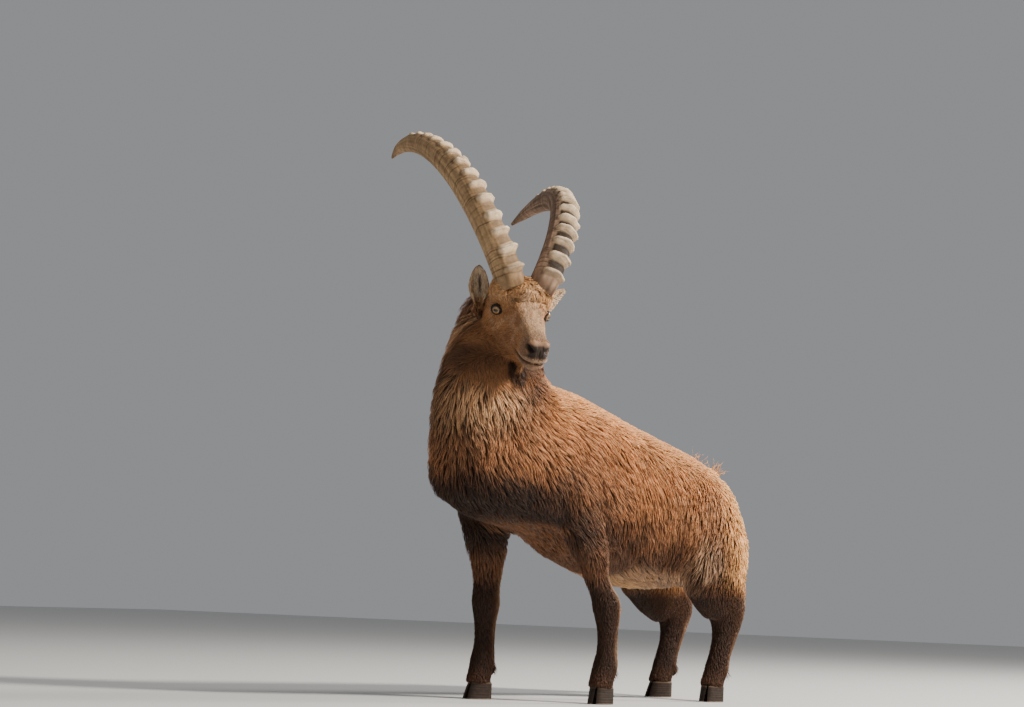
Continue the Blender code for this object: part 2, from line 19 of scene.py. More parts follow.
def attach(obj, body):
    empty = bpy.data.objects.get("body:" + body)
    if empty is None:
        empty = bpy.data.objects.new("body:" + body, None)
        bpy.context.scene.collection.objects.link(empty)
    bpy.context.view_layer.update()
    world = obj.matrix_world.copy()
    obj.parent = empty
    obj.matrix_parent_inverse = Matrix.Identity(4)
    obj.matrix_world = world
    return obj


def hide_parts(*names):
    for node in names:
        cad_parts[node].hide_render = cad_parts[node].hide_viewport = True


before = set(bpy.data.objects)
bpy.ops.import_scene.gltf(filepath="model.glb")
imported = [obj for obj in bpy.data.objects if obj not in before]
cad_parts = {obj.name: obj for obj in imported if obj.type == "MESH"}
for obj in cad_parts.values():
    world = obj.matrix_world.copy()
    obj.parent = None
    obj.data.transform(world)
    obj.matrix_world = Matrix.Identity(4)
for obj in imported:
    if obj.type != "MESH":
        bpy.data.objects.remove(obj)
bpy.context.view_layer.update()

CENTRE = np.array([-0.1090, 0.2402, 0.0])
RNG = np.random.default_rng(41)

# ---------------------------------------------------------------- the body's tables
HEAD_AT = (0.126, -0.297, 1.097)
HEAD_YAW, HEAD_PITCH, HEAD_ROLL = 55.3, 29.5, -4.0
HEAD_SIZE = 1.056
HORN_APART = 0.0474
EYE_R = 0.0165
EYE_AT = (0.035, 0.0760, -0.068)
EYE_AXIS = (0.42, 0.90, 0.10)
HOOF_TOP = 0.046
FEET = {
    "front_left": (0.170, 0.050, 14.0),
    "front_right": (-0.135, -0.085, -8.0),
    "hind_left": (0.148, 0.643, 12.0),
    "hind_right": (-0.115, 0.780, -12.0),
}
# y, top of back, underside, half width, height of the widest level
TRUNK = (
    (-0.388, 0.690, 0.575, 0.066, 0.635),
    (-0.345, 0.770, 0.515, 0.126, 0.630),
    (-0.275, 0.826, 0.480, 0.160, 0.625),
    (-0.180, 0.846, 0.462, 0.178, 0.630),
    (-0.070, 0.850, 0.450, 0.190, 0.625),
    (0.030, 0.840, 0.422, 0.198, 0.605),
    (0.140, 0.812, 0.376, 0.206, 0.580),
    (0.270, 0.780, 0.334, 0.214, 0.550),
    (0.400, 0.749, 0.312, 0.218, 0.525),
    (0.510, 0.724, 0.309, 0.215, 0.515),
    (0.610, 0.701, 0.320, 0.204, 0.510),
    (0.700, 0.675, 0.345, 0.172, 0.510),
    (0.760, 0.645, 0.380, 0.136, 0.510),
    (0.805, 0.606, 0.425, 0.096, 0.510),
    (0.832, 0.560, 0.475, 0.060, 0.510),
)
# x, y, z, half width across, half depth fore and aft
NECK = (
    (-0.010, -0.212, 0.545, 0.142, 0.170),
    (-0.008, -0.225, 0.605, 0.158, 0.188),
    (-0.002, -0.242, 0.690, 0.153, 0.189),
    (0.000, -0.256, 0.780, 0.137, 0.184),
    (-0.006, -0.244, 0.860, 0.126, 0.162),
    (-0.034, -0.202, 0.930, 0.121, 0.128),
    (-0.062, -0.166, 0.995, 0.110, 0.108),
    (-0.064, -0.166, 1.034, 0.094, 0.092),
    (-0.032, -0.184, 1.060, 0.066, 0.066),
)
# crest of the mane down to the withers: as the neck
CREST = (
    (-0.040, -0.010, 0.750, 0.085, 0.105),
    (-0.052, -0.040, 0.820, 0.074, 0.090),
    (-0.062, -0.062, 0.875, 0.060, 0.076),
    (-0.064, -0.084, 0.925, 0.056, 0.066),
    (-0.063, -0.104, 0.975, 0.054, 0.056),
    (-0.056, -0.124, 1.010, 0.045, 0.045),
)
FORELEG = {
    "left": (
        (0.118, -0.120, 0.660, 0.070, 0.105),
        (0.130, -0.060, 0.560, 0.066, 0.098),
        (0.138, -0.018, 0.480, 0.054, 0.074),
        (0.146, 0.014, 0.410, 0.043, 0.054),
        (0.155, 0.038, 0.335, 0.032, 0.037),
        (0.163, 0.056, 0.292, 0.032, 0.034),
        (0.169, 0.068, 0.262, 0.038, 0.041),
        (0.171, 0.072, 0.228, 0.033, 0.036),
        (0.172, 0.074, 0.190, 0.0275, 0.031),
        (0.172, 0.073, 0.140, 0.0275, 0.031),
        (0.171, 0.068, 0.100, 0.034, 0.036),
        (0.170, 0.056, 0.070, 0.032, 0.034),
        (0.170, 0.046, 0.036, 0.035, 0.037),
    ),
    "right": (
        (-0.118, -0.130, 0.660, 0.070, 0.105),
        (-0.128, -0.100, 0.560, 0.068, 0.100),
        (-0.130, -0.080, 0.480, 0.062, 0.084),
        (-0.132, -0.068, 0.410, 0.050, 0.062),
        (-0.134, -0.062, 0.335, 0.037, 0.044),
        (-0.135, -0.062, 0.292, 0.035, 0.038),
        (-0.135, -0.063, 0.262, 0.038, 0.041),
        (-0.135, -0.062, 0.228, 0.033, 0.036),
        (-0.135, -0.062, 0.190, 0.0275, 0.031),
        (-0.135, -0.064, 0.140, 0.0275, 0.031),
        (-0.135, -0.069, 0.100, 0.034, 0.036),
        (-0.135, -0.079, 0.070, 0.032, 0.034),
        (-0.135, -0.089, 0.036, 0.035, 0.037),
    ),
}
HINDLEG = (
    (0.070, 0.050, 0.612, 0.040, 0.070),
    (0.100, 0.060, 0.552, 0.076, 0.130),
    (0.122, 0.037, 0.490, 0.084, 0.152),
    (0.138, 0.022, 0.410, 0.082, 0.152),
    (0.146, 0.031, 0.345, 0.065, 0.128),
    (0.146, 0.050, 0.297, 0.053, 0.103),
    (0.146, 0.066, 0.258, 0.046, 0.078),
    (0.146, 0.069, 0.220, 0.039, 0.055),
    (0.146, 0.060, 0.178, 0.032, 0.041),
    (0.146, 0.042, 0.132, 0.030, 0.035),
    (0.146, 0.028, 0.096, 0.034, 0.036),
    (0.146, 0.012, 0.068, 0.032, 0.034),
    (0.146, -0.002, 0.036, 0.035, 0.037),
)
MASSES = (
    (0.108, -0.120, 0.620, 0.084, 0.135, 0.160),     # shoulders
)
TAIL = (
    (0.0, 0.735, 0.622, 0.040, 0.034),
    (0.0, 0.785, 0.636, 0.034, 0.028),
    (0.0, 0.825, 0.645, 0.030, 0.024),
    (0.0, 0.855, 0.640, 0.025, 0.020),
    (0.0, 0.874, 0.626, 0.012, 0.010),
)
# Head frame: f towards the nose, l to the animal's left, u up
HEAD = (
    (-0.098, -0.040, -0.125, 0.032, -0.080),
    (-0.080, -0.018, -0.155, 0.062, -0.085),
    (-0.045, -0.004, -0.176, 0.074, -0.086),
    (-0.010, 0.001, -0.185, 0.073, -0.084),
    (0.025, -0.004, -0.189, 0.069, -0.080),
    (0.055, -0.016, -0.185, 0.061, -0.082),
    (0.085, -0.030, -0.182, 0.050, -0.086),
    (0.115, -0.043, -0.170, 0.041, -0.090),
    (0.145, -0.054, -0.157, 0.0345, -0.096),
    (0.172, -0.062, -0.151, 0.0325, -0.102),
    (0.193, -0.068, -0.149, 0.0300, -0.105),
    (0.207, -0.078, -0.138, 0.0230, -0.106),
    (0.214, -0.092, -0.122, 0.012, -0.107),
)
HEAD_MASSES = (
    (0.026, 0.045, -0.056, 0.034, 0.020, 0.026),      # orbit
    (-0.006, 0.045, -0.122, 0.058, 0.030, 0.054),     # cheek
    (0.058, 0.026, -0.152, 0.054, 0.023, 0.028),      # jaw
    (0.188, 0.016, -0.084, 0.022, 0.0135, 0.019),      # nostril wing
    (-0.004, 0.046, -0.034, 0.050, 0.038, 0.048),     # horn pedicle
)
HEAD_SINGLE = (
    (0.018, 0.0, -0.012, 0.050, 0.052, 0.031),        # woolly forehead
    (0.176, 0.0, -0.142, 0.024, 0.019, 0.013),        # chin
    (0.104, 0.0, -0.178, 0.032, 0.015, 0.028),        # beard
)
HORNS = {
    "right": (-1, 0.6718, 1.9504, 0.8162, -0.9503, 0.4006, -0.2626, -0.2704, 0.8212),
    "left": (1, 0.729, 3.2317, -3.0098, 1.2684, 0.4207, -0.2479, -0.3204, 0.8035),
}
HORN_KNOBS = 14
KNOBBED = 0.82
KNOB_TURN = radians(27)
EARS = {
    "right": ((-0.052, -0.082, -0.092), (-0.060, -0.107, 0.004), (0.86, -0.42, 0.05)),
    "left": ((-0.050, 0.076, -0.086), (-0.124, 0.166, -0.060), (0.80, 0.60, -0.10)),
}
EAR_WIDTH = 0.049


# ---------------------------------------------------------------- helpers
def unit(v):
    v = np.array(v, float)
    return v / np.linalg.norm(v)


def units(v):
    return v / np.maximum(np.linalg.norm(v, axis=-1, keepdims=True), 1e-12)


def ss(a, b, x):
    """Smooth step from 0 at a to 1 at b."""
    t = np.clip((np.asarray(x, float) - a) / (b - a), 0, 1)
    return t * t * (3 - 2 * t)


def bump(x, centre, half):
    """Round bump of height 1 and given half width."""
    t = np.clip(1 - ((np.asarray(x, float) - centre) / half) ** 2, 0, 1)
    return t * t


def head_axes():
    y, p, r = radians(HEAD_YAW), radians(HEAD_PITCH), radians(HEAD_ROLL)
    f = np.array([sin(y) * cos(p), -cos(y) * cos(p), -sin(p)])
    lv = np.array([cos(y), sin(y), 0.0])
    u = np.cross(f, lv)
    return np.array([f, cos(r) * lv + sin(r) * u, -sin(r) * lv + cos(r) * u])


AX = head_axes()


def head_point(p):
    return np.array(HEAD_AT) + HEAD_SIZE * (np.array(p, float) @ AX)


def to_head(p):
    return ((np.asarray(p) - np.array(HEAD_AT)) @ AX.T) / HEAD_SIZE


def smooth_rows(stations, k):
    s = np.array(stations, float)
    p = np.vstack([2 * s[0] - s[1], s, 2 * s[-1] - s[-2]])
    rows = []
    for i in range(len(s) - 1):
        a, b, c, d = p[i:i + 4]
        for j in range(k):
            t = j / k
            rows.append(0.5 * (2 * b + (c - a) * t + (2 * a - 5 * b + 4 * c - d) * t * t
                               + (3 * b - a - 3 * c + d) * t ** 3))
    rows.append(s[-1])
    return np.array(rows)


def power_ring(centre, e1, e2, r1, up, down, n, power):
    pts = []
    for i in range(n):
        t = 2 * pi * i / n
        c, s = cos(t), sin(t)
        cc = np.sign(c) * abs(c) ** (2 / power)
        sn = np.sign(s) * abs(s) ** (2 / power)
        pts.append(centre + e1 * r1 * cc + e2 * (up if s >= 0 else down) * sn)
    return pts


def loft(rings):
    bm = bmesh.new()
    vs = [[bm.verts.new(p) for p in ring] for ring in rings]
    n = len(vs[0])
    for a, b in zip(vs, vs[1:]):
        for i in range(n):
            j = (i + 1) % n
            bm.faces.new((a[i], a[j], b[j], b[i]))
    bm.faces.new(vs[0][::-1])
    bm.faces.new(vs[-1])
    bmesh.ops.recalc_face_normals(bm, faces=bm.faces)
    return bm


def tube(stations, k=4, n=20, power=2.1):
    rows = smooth_rows(stations, k)
    pos = rows[:, :3]
    tan = np.gradient(pos, axis=0)
    rings = []
    for p, t, r in zip(pos, tan, rows):
        t = unit(t)
        side = unit(np.array([1.0, 0, 0]) - t * t[0])
        fore = np.cross(t, side)
        rings.append(power_ring(p, side, fore, r[3], r[4], r[4], n, power))
    return loft(rings)


def ellipsoid(centre, radii, axes=None, u=24, v=14):
    bm = bmesh.new()
    bmesh.ops.create_uvsphere(bm, u_segments=u, v_segments=v, radius=1.0)
    a = np.eye(3) if axes is None else np.array(axes)
    for w in bm.verts:
        q = np.array(w.co) * np.array(radii)
        w.co = Vector(np.array(centre) + q @ a)
    bmesh.ops.recalc_face_normals(bm, faces=bm.faces)
    return bm


def merge(bms):
    out = bmesh.new()
    for b in bms:
        tmp = bpy.data.meshes.new("tmp")
        b.to_mesh(tmp)
        b.free()
        out.from_mesh(tmp)
        bpy.data.meshes.remove(tmp)
    return out


def to_object(name, bm):
    mesh = bpy.data.meshes.new(name)
    bm.normal_update()
    bm.to_mesh(mesh)
    bm.free()
    ob = bpy.data.objects.new(name, mesh)
    bpy.context.scene.collection.objects.link(ob)
    return ob


def modified(ob, kind, **values):
    m = ob.modifiers.new(kind.lower(), kind)
    for key, value in values.items():
        setattr(m, key, value)
    deps = bpy.context.evaluated_depsgraph_get()
    mesh = bpy.data.meshes.new_from_object(ob.evaluated_get(deps))
    old = ob.data
    ob.modifiers.clear()
    ob.data = mesh
    bpy.data.meshes.remove(old)
    return ob


def coords(mesh):
    a = np.empty(len(mesh.vertices) * 3, np.float32)
    mesh.vertices.foreach_get("co", a)
    return a.reshape(-1, 3).astype(float)


def set_coords(mesh, co):
    mesh.vertices.foreach_set("co", np.ascontiguousarray(co, np.float32).ravel())
    mesh.update()


def normals(mesh):
    a = np.empty(len(mesh.vertices) * 3, np.float32)
    mesh.vertex_normals.foreach_get("vector", a)
    return a.reshape(-1, 3).astype(float)


def edges_of(mesh):
    e = np.empty(len(mesh.edges) * 2, np.int32)
    mesh.edges.foreach_get("vertices", e)
    return e.reshape(-1, 2)


def relax(values, edges, rounds, factor=0.5):
    """Average a per-vertex array with its neighbours, a few times."""
    n = len(values)
    count = np.bincount(edges.ravel(), minlength=n).astype(float)
    v = values.copy()
    for _ in range(rounds):
        acc = np.zeros_like(v)
        if v.ndim == 1:
            acc += np.bincount(edges[:, 0], v[edges[:, 1]], n) + np.bincount(edges[:, 1], v[edges[:, 0]], n)
            v += factor * (acc / np.maximum(count, 1) - v)
        else:
            for k in range(v.shape[1]):
                acc[:, k] = np.bincount(edges[:, 0], v[edges[:, 1], k], n) + np.bincount(edges[:, 1], v[edges[:, 0], k], n)
            v += factor * (acc / np.maximum(count, 1)[:, None] - v)
    return v


def lattice(p, size, seed):
    """Smooth value noise, -1 to 1, on a lattice of the given size."""
    q = np.asarray(p, float) / size + seed * 17.31
    i = np.floor(q).astype(np.int64)
    f = q - i
    f = f * f * (3 - 2 * f)
    out = np.zeros(len(q))
    for dx in (0, 1):
        for dy in (0, 1):
            for dz in (0, 1):
                h = ((i[:, 0] + dx) * 73856093) ^ ((i[:, 1] + dy) * 19349663) ^ ((i[:, 2] + dz) * 83492791) ^ (seed * 2654435761)
                h = (h ^ (h >> 13)) * 1274126177
                r = ((h ^ (h >> 16)) & 0xFFFF) / 32767.5 - 1
                w = (f[:, 0] if dx else 1 - f[:, 0]) * (f[:, 1] if dy else 1 - f[:, 1]) * (f[:, 2] if dz else 1 - f[:, 2])
                out += w * r
    return out


# ---------------------------------------------------------------- where on the body
def hind_rows(side):
    s = 1 if side == "left" else -1
    fx, fy, _ = FEET["hind_" + side]
    rows = []
    for x, y, z, w, d in HINDLEG:
        blend = min(1.0, max(0.0, (0.62 - z) / 0.36))
        hip_y = 0.655 + (0.000 if s > 0 else 0.008)
        yy = (hip_y + y - 0.075) * (1 - blend) + (fy + y) * blend
        xx = s * x * (1 - blend) + (fx + s * (x - 0.146)) * blend
        rows.append((xx, yy, z, w, d))
    return rows


def regions(p):
    """Weights of the parts of the body at points p, and their head coordinates."""
    x, y, z = p[:, 0], p[:, 1], p[:, 2]
    h = to_head(p)
    f, l, u = h.T
    mane = np.interp(u, (-0.20, -0.14, -0.09, -0.04, 0.0), (0.012, -0.030, -0.048, -0.060, -0.085))
    head = ss(-0.018, 0.010, f - mane) * ss(-0.240, -0.205, u) * ss(0.22, 0.17, np.abs(l)) * (z > 0.80)
    fore = ss(0.46, 0.37, z) * (y < 0.26)
    hind = ss(0.37, 0.29, z) * (y > 0.50) * np.where(np.abs(x) < 0.055, 0.0, 1.0)
    hind = np.where((y > 0.50) & (z < 0.30), 1.0, hind)
    low = np.clip(fore + hind, 0, 1)
    tail = ss(0.780, 0.825, y) * ss(0.575, 0.610, z)
    # neck: above a line from the withers to the breast
    line = (z - 0.868) * 0.370 + (y + 0.070) * -0.238
    neck = ss(-0.030, 0.045, line) * (y < 0.05) * (1 - head)
    trunk = np.clip(1 - head - neck - low - tail, 0, 1)
    return dict(head=head, neck=neck, low=low, fore=fore, hind=hind, tail=tail, trunk=trunk, f=f, l=l, u=u)


def coat_map(p, n, r=None):
    """Depth of the coat, length and width of a tuft, and share of clumping."""
    r = r or regions(p)
    x, y, z = p.T
    f, l, u = r["f"], r["l"], r["u"]
    top = ss(0.35, 0.85, n[:, 2])
    under = ss(-0.35, -0.80, n[:, 2])
    rump = ss(0.55, 0.72, y)
    breast = ss(0.15, -0.25, y) * ss(0.72, 0.58, z)
    depth = 0.0165 - 0.0055 * top - 0.0010 * rump - 0.003 * ss(0.42, 0.36, z)
    length = 0.050 - 0.018 * top - 0.006 * rump + 0.006 * under
    width = 0.0042 - 0.0007 * top
    clump = 0.60 - 0.20 * top
    # neck and throat
    k = r["neck"]
    depth = depth * (1 - k) + k * (0.0200 - 0.003 * ss(0.3, 0.8, n[:, 1]))
    length = length * (1 - k) + k * 0.054
    width = width * (1 - k) + k * 0.0041
    clump = clump * (1 - k) + k * 0.72
    # legs
    k = r["low"]
    down = ss(0.40, 0.22, z)
    depth = depth * (1 - k) + k * (0.0080 - 0.0045 * down)
    length = length * (1 - k) + k * (0.030 - 0.015 * down)
    width = width * (1 - k) + k * (0.0037 - 0.0010 * down)
    clump = clump * (1 - k) + k * 0.25
    # tail
    k = r["tail"]
    depth = depth * (1 - k) + k * 0.008
    length = length * (1 - k) + k * 0.040
    width = width * (1 - k) + k * 0.0042
    # head
    k = r["head"]
    face = ss(0.02, 0.15, f)
    crown = ss(0.085, 0.045, f) * ss(-0.055, -0.030, u) * ss(0.075, 0.05, np.abs(l))
    back = ss(-0.02, -0.085, f)
    jaw = ss(-0.12, -0.165, u) * ss(0.19, 0.12, f)
    beard = bump(f, 0.105, 0.034) * ss(-0.158, -0.172, u) * ss(0.024, 0.012, np.abs(l))
    hd = 0.0042 - 0.0028 * face + 0.0052 * crown + 0.0080 * back + 0.003 * jaw + 0.008 * beard
    hl = 0.0160 - 0.0070 * face + 0.0095 * crown + 0.020 * back + 0.010 * jaw + 0.016 * beard
    hw = 0.0022 - 0.0006 * face + 0.0003 * crown + 0.0016 * back + 0.0008 * beard
    depth = depth * (1 - k) + k * hd
    length = length * (1 - k) + k * hl
    width = width * (1 - k) + k * hw
    clump = clump * (1 - k) + k * (0.20 + 0.35 * crown + 0.3 * back + 0.3 * beard)
    return depth, length, width, clump


def lie(p, n, r=None):
    """Direction in which the hair lies, along the surface."""
    r = r or regions(p)
    x, y, z = p.T
    f, l, u = r["f"], r["l"], r["u"]
    back = ss(0.40, 0.80, n[:, 2])
    by = 0.75 - 1.30 * ss(-0.05, 0.62, y)
    d = np.stack([np.zeros(len(p)), by, -np.ones(len(p))], 1)
    d = d * (1 - back)[:, None] + back[:, None] * np.array([0.0, 1.0, -0.15])
    rear = ss(0.35, 0.75, n[:, 1]) * ss(0.60, 0.72, y)
    d = d * (1 - rear)[:, None] + rear[:, None] * np.array([0.0, 0.0, -1.0])
    under = ss(-0.45, -0.80, n[:, 2])
    d = d * (1 - under)[:, None] + under[:, None] * np.array([0.0, 0.8, -0.5])
    # neck
    nk = np.stack([0.25 * np.sign(x) * np.abs(n[:, 0]), 0.10 + 0.55 * ss(0.0, 0.7, n[:, 1]), -np.ones(len(p))], 1)
    k = r["neck"][:, None]
    d = d * (1 - k) + k * nk
    k = r["low"][:, None]
    d = d * (1 - k) + k * np.array([0.0, 0.18, -1.0])
    k = r["tail"][:, None]
    d = d * (1 - k) + k * np.array([0.0, 1.0, -0.15])
    side = ss(0.02, 0.05, np.abs(l)) * ss(-0.04, -0.09, u)
    hd = (-1.0 * AX[0])[None, :] - (0.55 * side)[:, None] * AX[2][None, :]
    fall = ss(0.10, -0.01, f) * side
    hd = hd * (1 - fall)[:, None] + fall[:, None] * (-0.45 * AX[0] + np.array([0.0, 0.0, -1.0]))[None, :]
    wool = ss(0.085, 0.045, f) * ss(-0.055, -0.030, u)
    swirl = np.stack([lattice(p, 0.013, 3), lattice(p, 0.013, 4), lattice(p, 0.013, 5)], 1)
    hd = hd * (1 - 0.35 * wool)[:, None] + wool[:, None] * (swirl * 0.62 + 0.60 * AX[0][None, :] - 0.2 * AX[2][None, :])
    beard = bump(f, 0.105, 0.036) * ss(-0.155, -0.170, u)
    hd = hd * (1 - beard)[:, None] + beard[:, None] * np.array([0.05, 0.0, -1.2])
    back_h = ss(-0.02, -0.09, f)
    hd = hd * (1 - back_h)[:, None] + back_h[:, None] * (-0.6 * AX[0] - 0.9 * np.array([0, 0, 1.0]))[None, :]
    k = (ss(-0.045, 0.045, f - np.interp(u, (-0.20, -0.14, -0.09, -0.04, 0.0), (0.012, -0.030, -0.048, -0.060, -0.085)))
         * ss(-0.275, -0.185, u) * (z > 0.80) * ss(0.22, 0.17, np.abs(l)))[:, None]
    d = d * (1 - k) + k * hd
    wander = np.stack([lattice(p, 0.075, 11), lattice(p, 0.075, 12), lattice(p, 0.075, 13)], 1)
    ripple = np.stack([lattice(p, 0.028, 14), lattice(p, 0.028, 15), lattice(p, 0.028, 16)], 1)
    free = (1 - 0.8 * r["head"] - 0.6 * r["low"])[:, None]
    d = units(d) + free * (0.34 * wander + 0.20 * ripple)
    d = d - n * np.sum(d * n, 1, keepdims=True)
    return units(d)


# ---------------------------------------------------------------- markings and painted shade
def srgb(*c):
    c = np.array(c, float) / 255
    return np.where(c <= 0.04045, c / 12.92, ((c + 0.055) / 1.055) ** 2.4)


RUST = srgb(186, 125, 78)
GOLD = srgb(219, 155, 92)
BROWN = srgb(140, 94, 62)
UMBER = srgb(80, 50, 32)
BLACK = srgb(44, 26, 16)
GREYBROWN = srgb(136, 98, 72)
TAN = srgb(202, 160, 122)
PALE = srgb(214, 184, 150)
CREAM = srgb(228, 206, 178)
SKIN_DARK = srgb(34, 25, 21)


def mouth_level(f):
    """Height of the line of the lips along the muzzle, head frame."""
    return -0.1235 - 0.0040 * np.sin(np.clip((f - 0.125) / 0.085, 0, 1) * pi) + 0.22 * np.clip(0.145 - f, 0, 0.05)


def mix(a, b, t):
    t = np.asarray(t, float)[:, None]
    return a * (1 - t) + b * t


def markings_and_painted_shade(p, n, r=None):
    """Base colour of skin and coat from the place on the body, linear RGB: the markings, with painted shade under the
    jaw, in the fold behind the cheek, beneath the chest and low on the flank, and painted sunlight on the back.
    """
    r = r or regions(p)
    x, y, z = p.T
    f, l, u = r["f"], r["l"], r["u"]
    al = np.abs(l)
    wob = lattice(p, 0.060, 21)
    wob2 = lattice(p, 0.022, 22)
    broad = lattice(p, 0.16, 23)
    c = np.tile(RUST, (len(p), 1))
    zz = z + 0.022 * wob + 0.012 * wob2
    # upward faces of the back turn golden, partly a paler back and partly painted sunlight; the flank browner towards
    # the dark band above the belly
    c = mix(c, GOLD, 0.60 * ss(0.20, 0.85, n[:, 2]) * ss(0.57, 0.67, z))
    low = np.interp(y, (-0.4, -0.1, 0.1, 0.3, 0.55, 0.7, 0.9), (0.560, 0.520, 0.450, 0.400, 0.395, 0.370, 0.36))
    c = mix(c, TAN, 0.18 * bump(zz, low + 0.12, 0.10) * ss(0.15, 0.35, y))
    # the dark band above the belly: dark hair, deepened with painted shade low on the flank
    c = mix(c, BROWN, ss(low + 0.23, low + 0.08, zz) * 0.74)
    c = mix(c, UMBER, ss(low + 0.120, low + 0.010, zz) * 0.90 * ss(0.74, 0.64, y))
    c = mix(c, BLACK, 0.80 * ss(low + 0.11, low + 0.00, zz) * ss(0.16, 0.02, y))
    # shoulder darker than the flank
    c = mix(c, BROWN, 0.50 * bump(y + 0.35 * (z - 0.6), -0.02, 0.17) * ss(0.74, 0.60, z) * ss(0.05, 0.11, np.abs(x)))
    # belly: pale along the middle
    c = mix(c, TAN, ss(-0.35, -0.85, n[:, 2]) * ss(0.42, 0.36, z) * ss(0.02, 0.14, y) * ss(0.66, 0.56, y) * 0.55)
    c = mix(c, srgb(206, 160, 108), ss(0.08, 0.02, np.abs(x)) * ss(-0.4, -0.8, n[:, 2]) * ss(0.10, 0.25, y) * 0.40)
    # rump: gold behind, paler under the tail
    c = mix(c, srgb(246, 184, 118), 0.88 * ss(0.57, 0.72, y) * ss(0.30, 0.40, z))
    c = mix(c, srgb(232, 196, 148), ss(0.085, 0.030, np.abs(x + 0.008 * wob)) * ss(0.78, 0.82, y) * ss(0.63, 0.57, z) * ss(0.42, 0.52, z) * 0.60)
    # thigh: dark ahead, streaked gold behind
    th = ss(0.48, 0.58, y) * ss(0.54, 0.42, z)
    c = mix(c, UMBER, th * ss(0.64, 0.54, y) * 0.50)
    c = mix(c, srgb(186, 150, 120), 0.62 * bump(z, 0.41, 0.13) * bump(y, 0.545, 0.090) * ss(0.05, 0.10, np.abs(x)) * ss(-0.4, 0.3, wob + 0.8 * wob2))
    # breast: dark hair, partly painted shade; darkest on the faces beneath the chest between the forelegs, painted
    # shade there
    br = ss(-0.10, -0.30, y) * ss(0.64, 0.54, zz)
    c = mix(c, BLACK, br * 0.70)
    c = mix(c, BLACK, ss(0.54, 0.47, z) * ss(0.18, 0.02, y) * bump(n[:, 2], -0.45, 0.45) * 0.70)
    c = mix(c, BROWN, ss(0.52, 0.46, z) * ss(0.22, 0.06, y) * ss(-0.70, -0.92, n[:, 2]) * 0.7)
    # neck: brown, a lighter streaked throat, darker towards the breast, partly dark hair and partly painted shade on
    # the forward faces and the side away from the light
    k = r["neck"]
    throat = ss(0.15, -0.35, n[:, 1]) * bump(x, 0.035, 0.15) * ss(0.66, 0.80, z)
    nc = mix(np.tile(GREYBROWN, (len(p), 1)), srgb(238, 186, 136), 0.86 * throat)
    nc = mix(nc, BROWN, 0.5 * ss(0.2, 0.8, n[:, 1]))
    nc = mix(nc, RUST, 0.70 * ss(0.2, 0.8, n[:, 1]) * ss(1.00, 0.88, z))
    # lower neck darker on the forward faces and the far side: dark hair with painted shade
    nc = mix(nc, UMBER, 0.55 * ss(0.88, 0.72, z) * ss(0.0, -0.5, n[:, 1]) * ss(0.16, 0.02, x))
    # under the jaw: dark hair and the jaw's painted shadow
    nc = mix(nc, UMBER, 0.75 * bump(f, 0.045, 0.075) * ss(-0.185, -0.205, u) * ss(-0.36, -0.26, u))
    # the fold between mane and cheek: painted shade
    nc = mix(nc, UMBER, 0.55 * bump(f, np.interp(u, (-0.20, -0.14, -0.06), (-0.005, -0.045, -0.070)), 0.026) * ss(-0.02, -0.07, u))
    c = c * (1 - k[:, None]) + nc * k[:, None]
    # top of the throat under the jaw: dark hair and painted shadow of the jaw
    c = mix(c, UMBER, 0.50 * k * bump(u, -0.225, 0.042) * ss(0.13, 0.07, f) * ss(-0.03, 0.03, f))
    # legs: chocolate in front, paler behind
    k = r["low"]
    behind = ss(-0.1, 0.75, n[:, 1] + 0.25 * wob)
    lc = mix(np.tile(UMBER * 0.85, (len(p), 1)), BLACK, 0.75 * ss(0.30, -0.70, n[:, 1]))
    lc = mix(lc, TAN, 0.50 * behind * ss(0.06, 0.12, z))
    lc = mix(lc, BROWN, 0.45 * ss(0.30, 0.36, z))
    lc = mix(lc, UMBER * 0.8, ss(0.11, 0.06, z))
    c = c * (1 - k[:, None]) + lc * k[:, None]
    # tail: gold above, pale below, dark tip
    k = r["tail"]
    tc = mix(np.tile(GOLD, (len(p), 1)), BROWN, ss(0.845, 0.872, y) * 0.6)
    tc = mix(tc, CREAM, ss(0.1, -0.7, n[:, 2]))
    c = c * (1 - k[:, None]) + tc * k[:, None]
    # head
    hc = np.tile(srgb(174, 122, 78), (len(p), 1))
    hc = mix(hc, srgb(206, 156, 104), ss(0.11, 0.03, f) * ss(-0.07, -0.030, u) * 0.85)
    hc = mix(hc, PALE, 0.60 * ss(0.02, 0.10, f) * ss(0.036, 0.014, al) * ss(-0.11, -0.075, u) * ss(0.205, 0.18, f))
    # lower cheek and jaw browner: partly darker hair, partly painted shade
    hc = mix(hc, BROWN, 0.50 * ss(-0.09, -0.15, u + 0.02 * wob) * ss(0.15, 0.08, f))
    # underside of the jaw: dark beard hair and painted shadow
    hc = mix(hc, UMBER, 0.85 * ss(-0.150, -0.180, u) * ss(0.16, 0.06, f))
    # sides of the muzzle browner: partly darker hair, partly painted shade
    hc = mix(hc, BROWN, 0.35 * bump(f, 0.115, 0.05) * ss(0.018, 0.034, al))
    # the fold where the cheek meets the mane: painted shade
    hc = mix(hc, UMBER, 0.55 * ss(0.040, 0.005, f - np.interp(u, (-0.20, -0.14, -0.09, -0.04, 0.0), (0.012, -0.030, -0.048, -0.060, -0.085))) * ss(-0.03, -0.07, u))
    patchy = lattice(p, 0.019, 24)
    hc = mix(hc, srgb(120, 84, 56), 0.34 * ss(0.05, 0.55, patchy) * ss(0.175, 0.150, f) * ss(-0.02, 0.03, f))
    hc = mix(hc, srgb(212, 178, 146), 0.30 * ss(0.05, 0.55, -patchy) * ss(0.175, 0.150, f) * ss(0.00, 0.04, f) * ss(-0.140, -0.110, u))
    # a pale arch over and under the eye
    ex, eu = f - EYE_AT[0], u - EYE_AT[2]
    ring = np.sqrt((ex / 0.034) ** 2 + (eu / 0.027) ** 2)
    hc = mix(hc, TAN, 0.45 * bump(ring, 1.05, 0.42) * ss(0.04, 0.055, al))
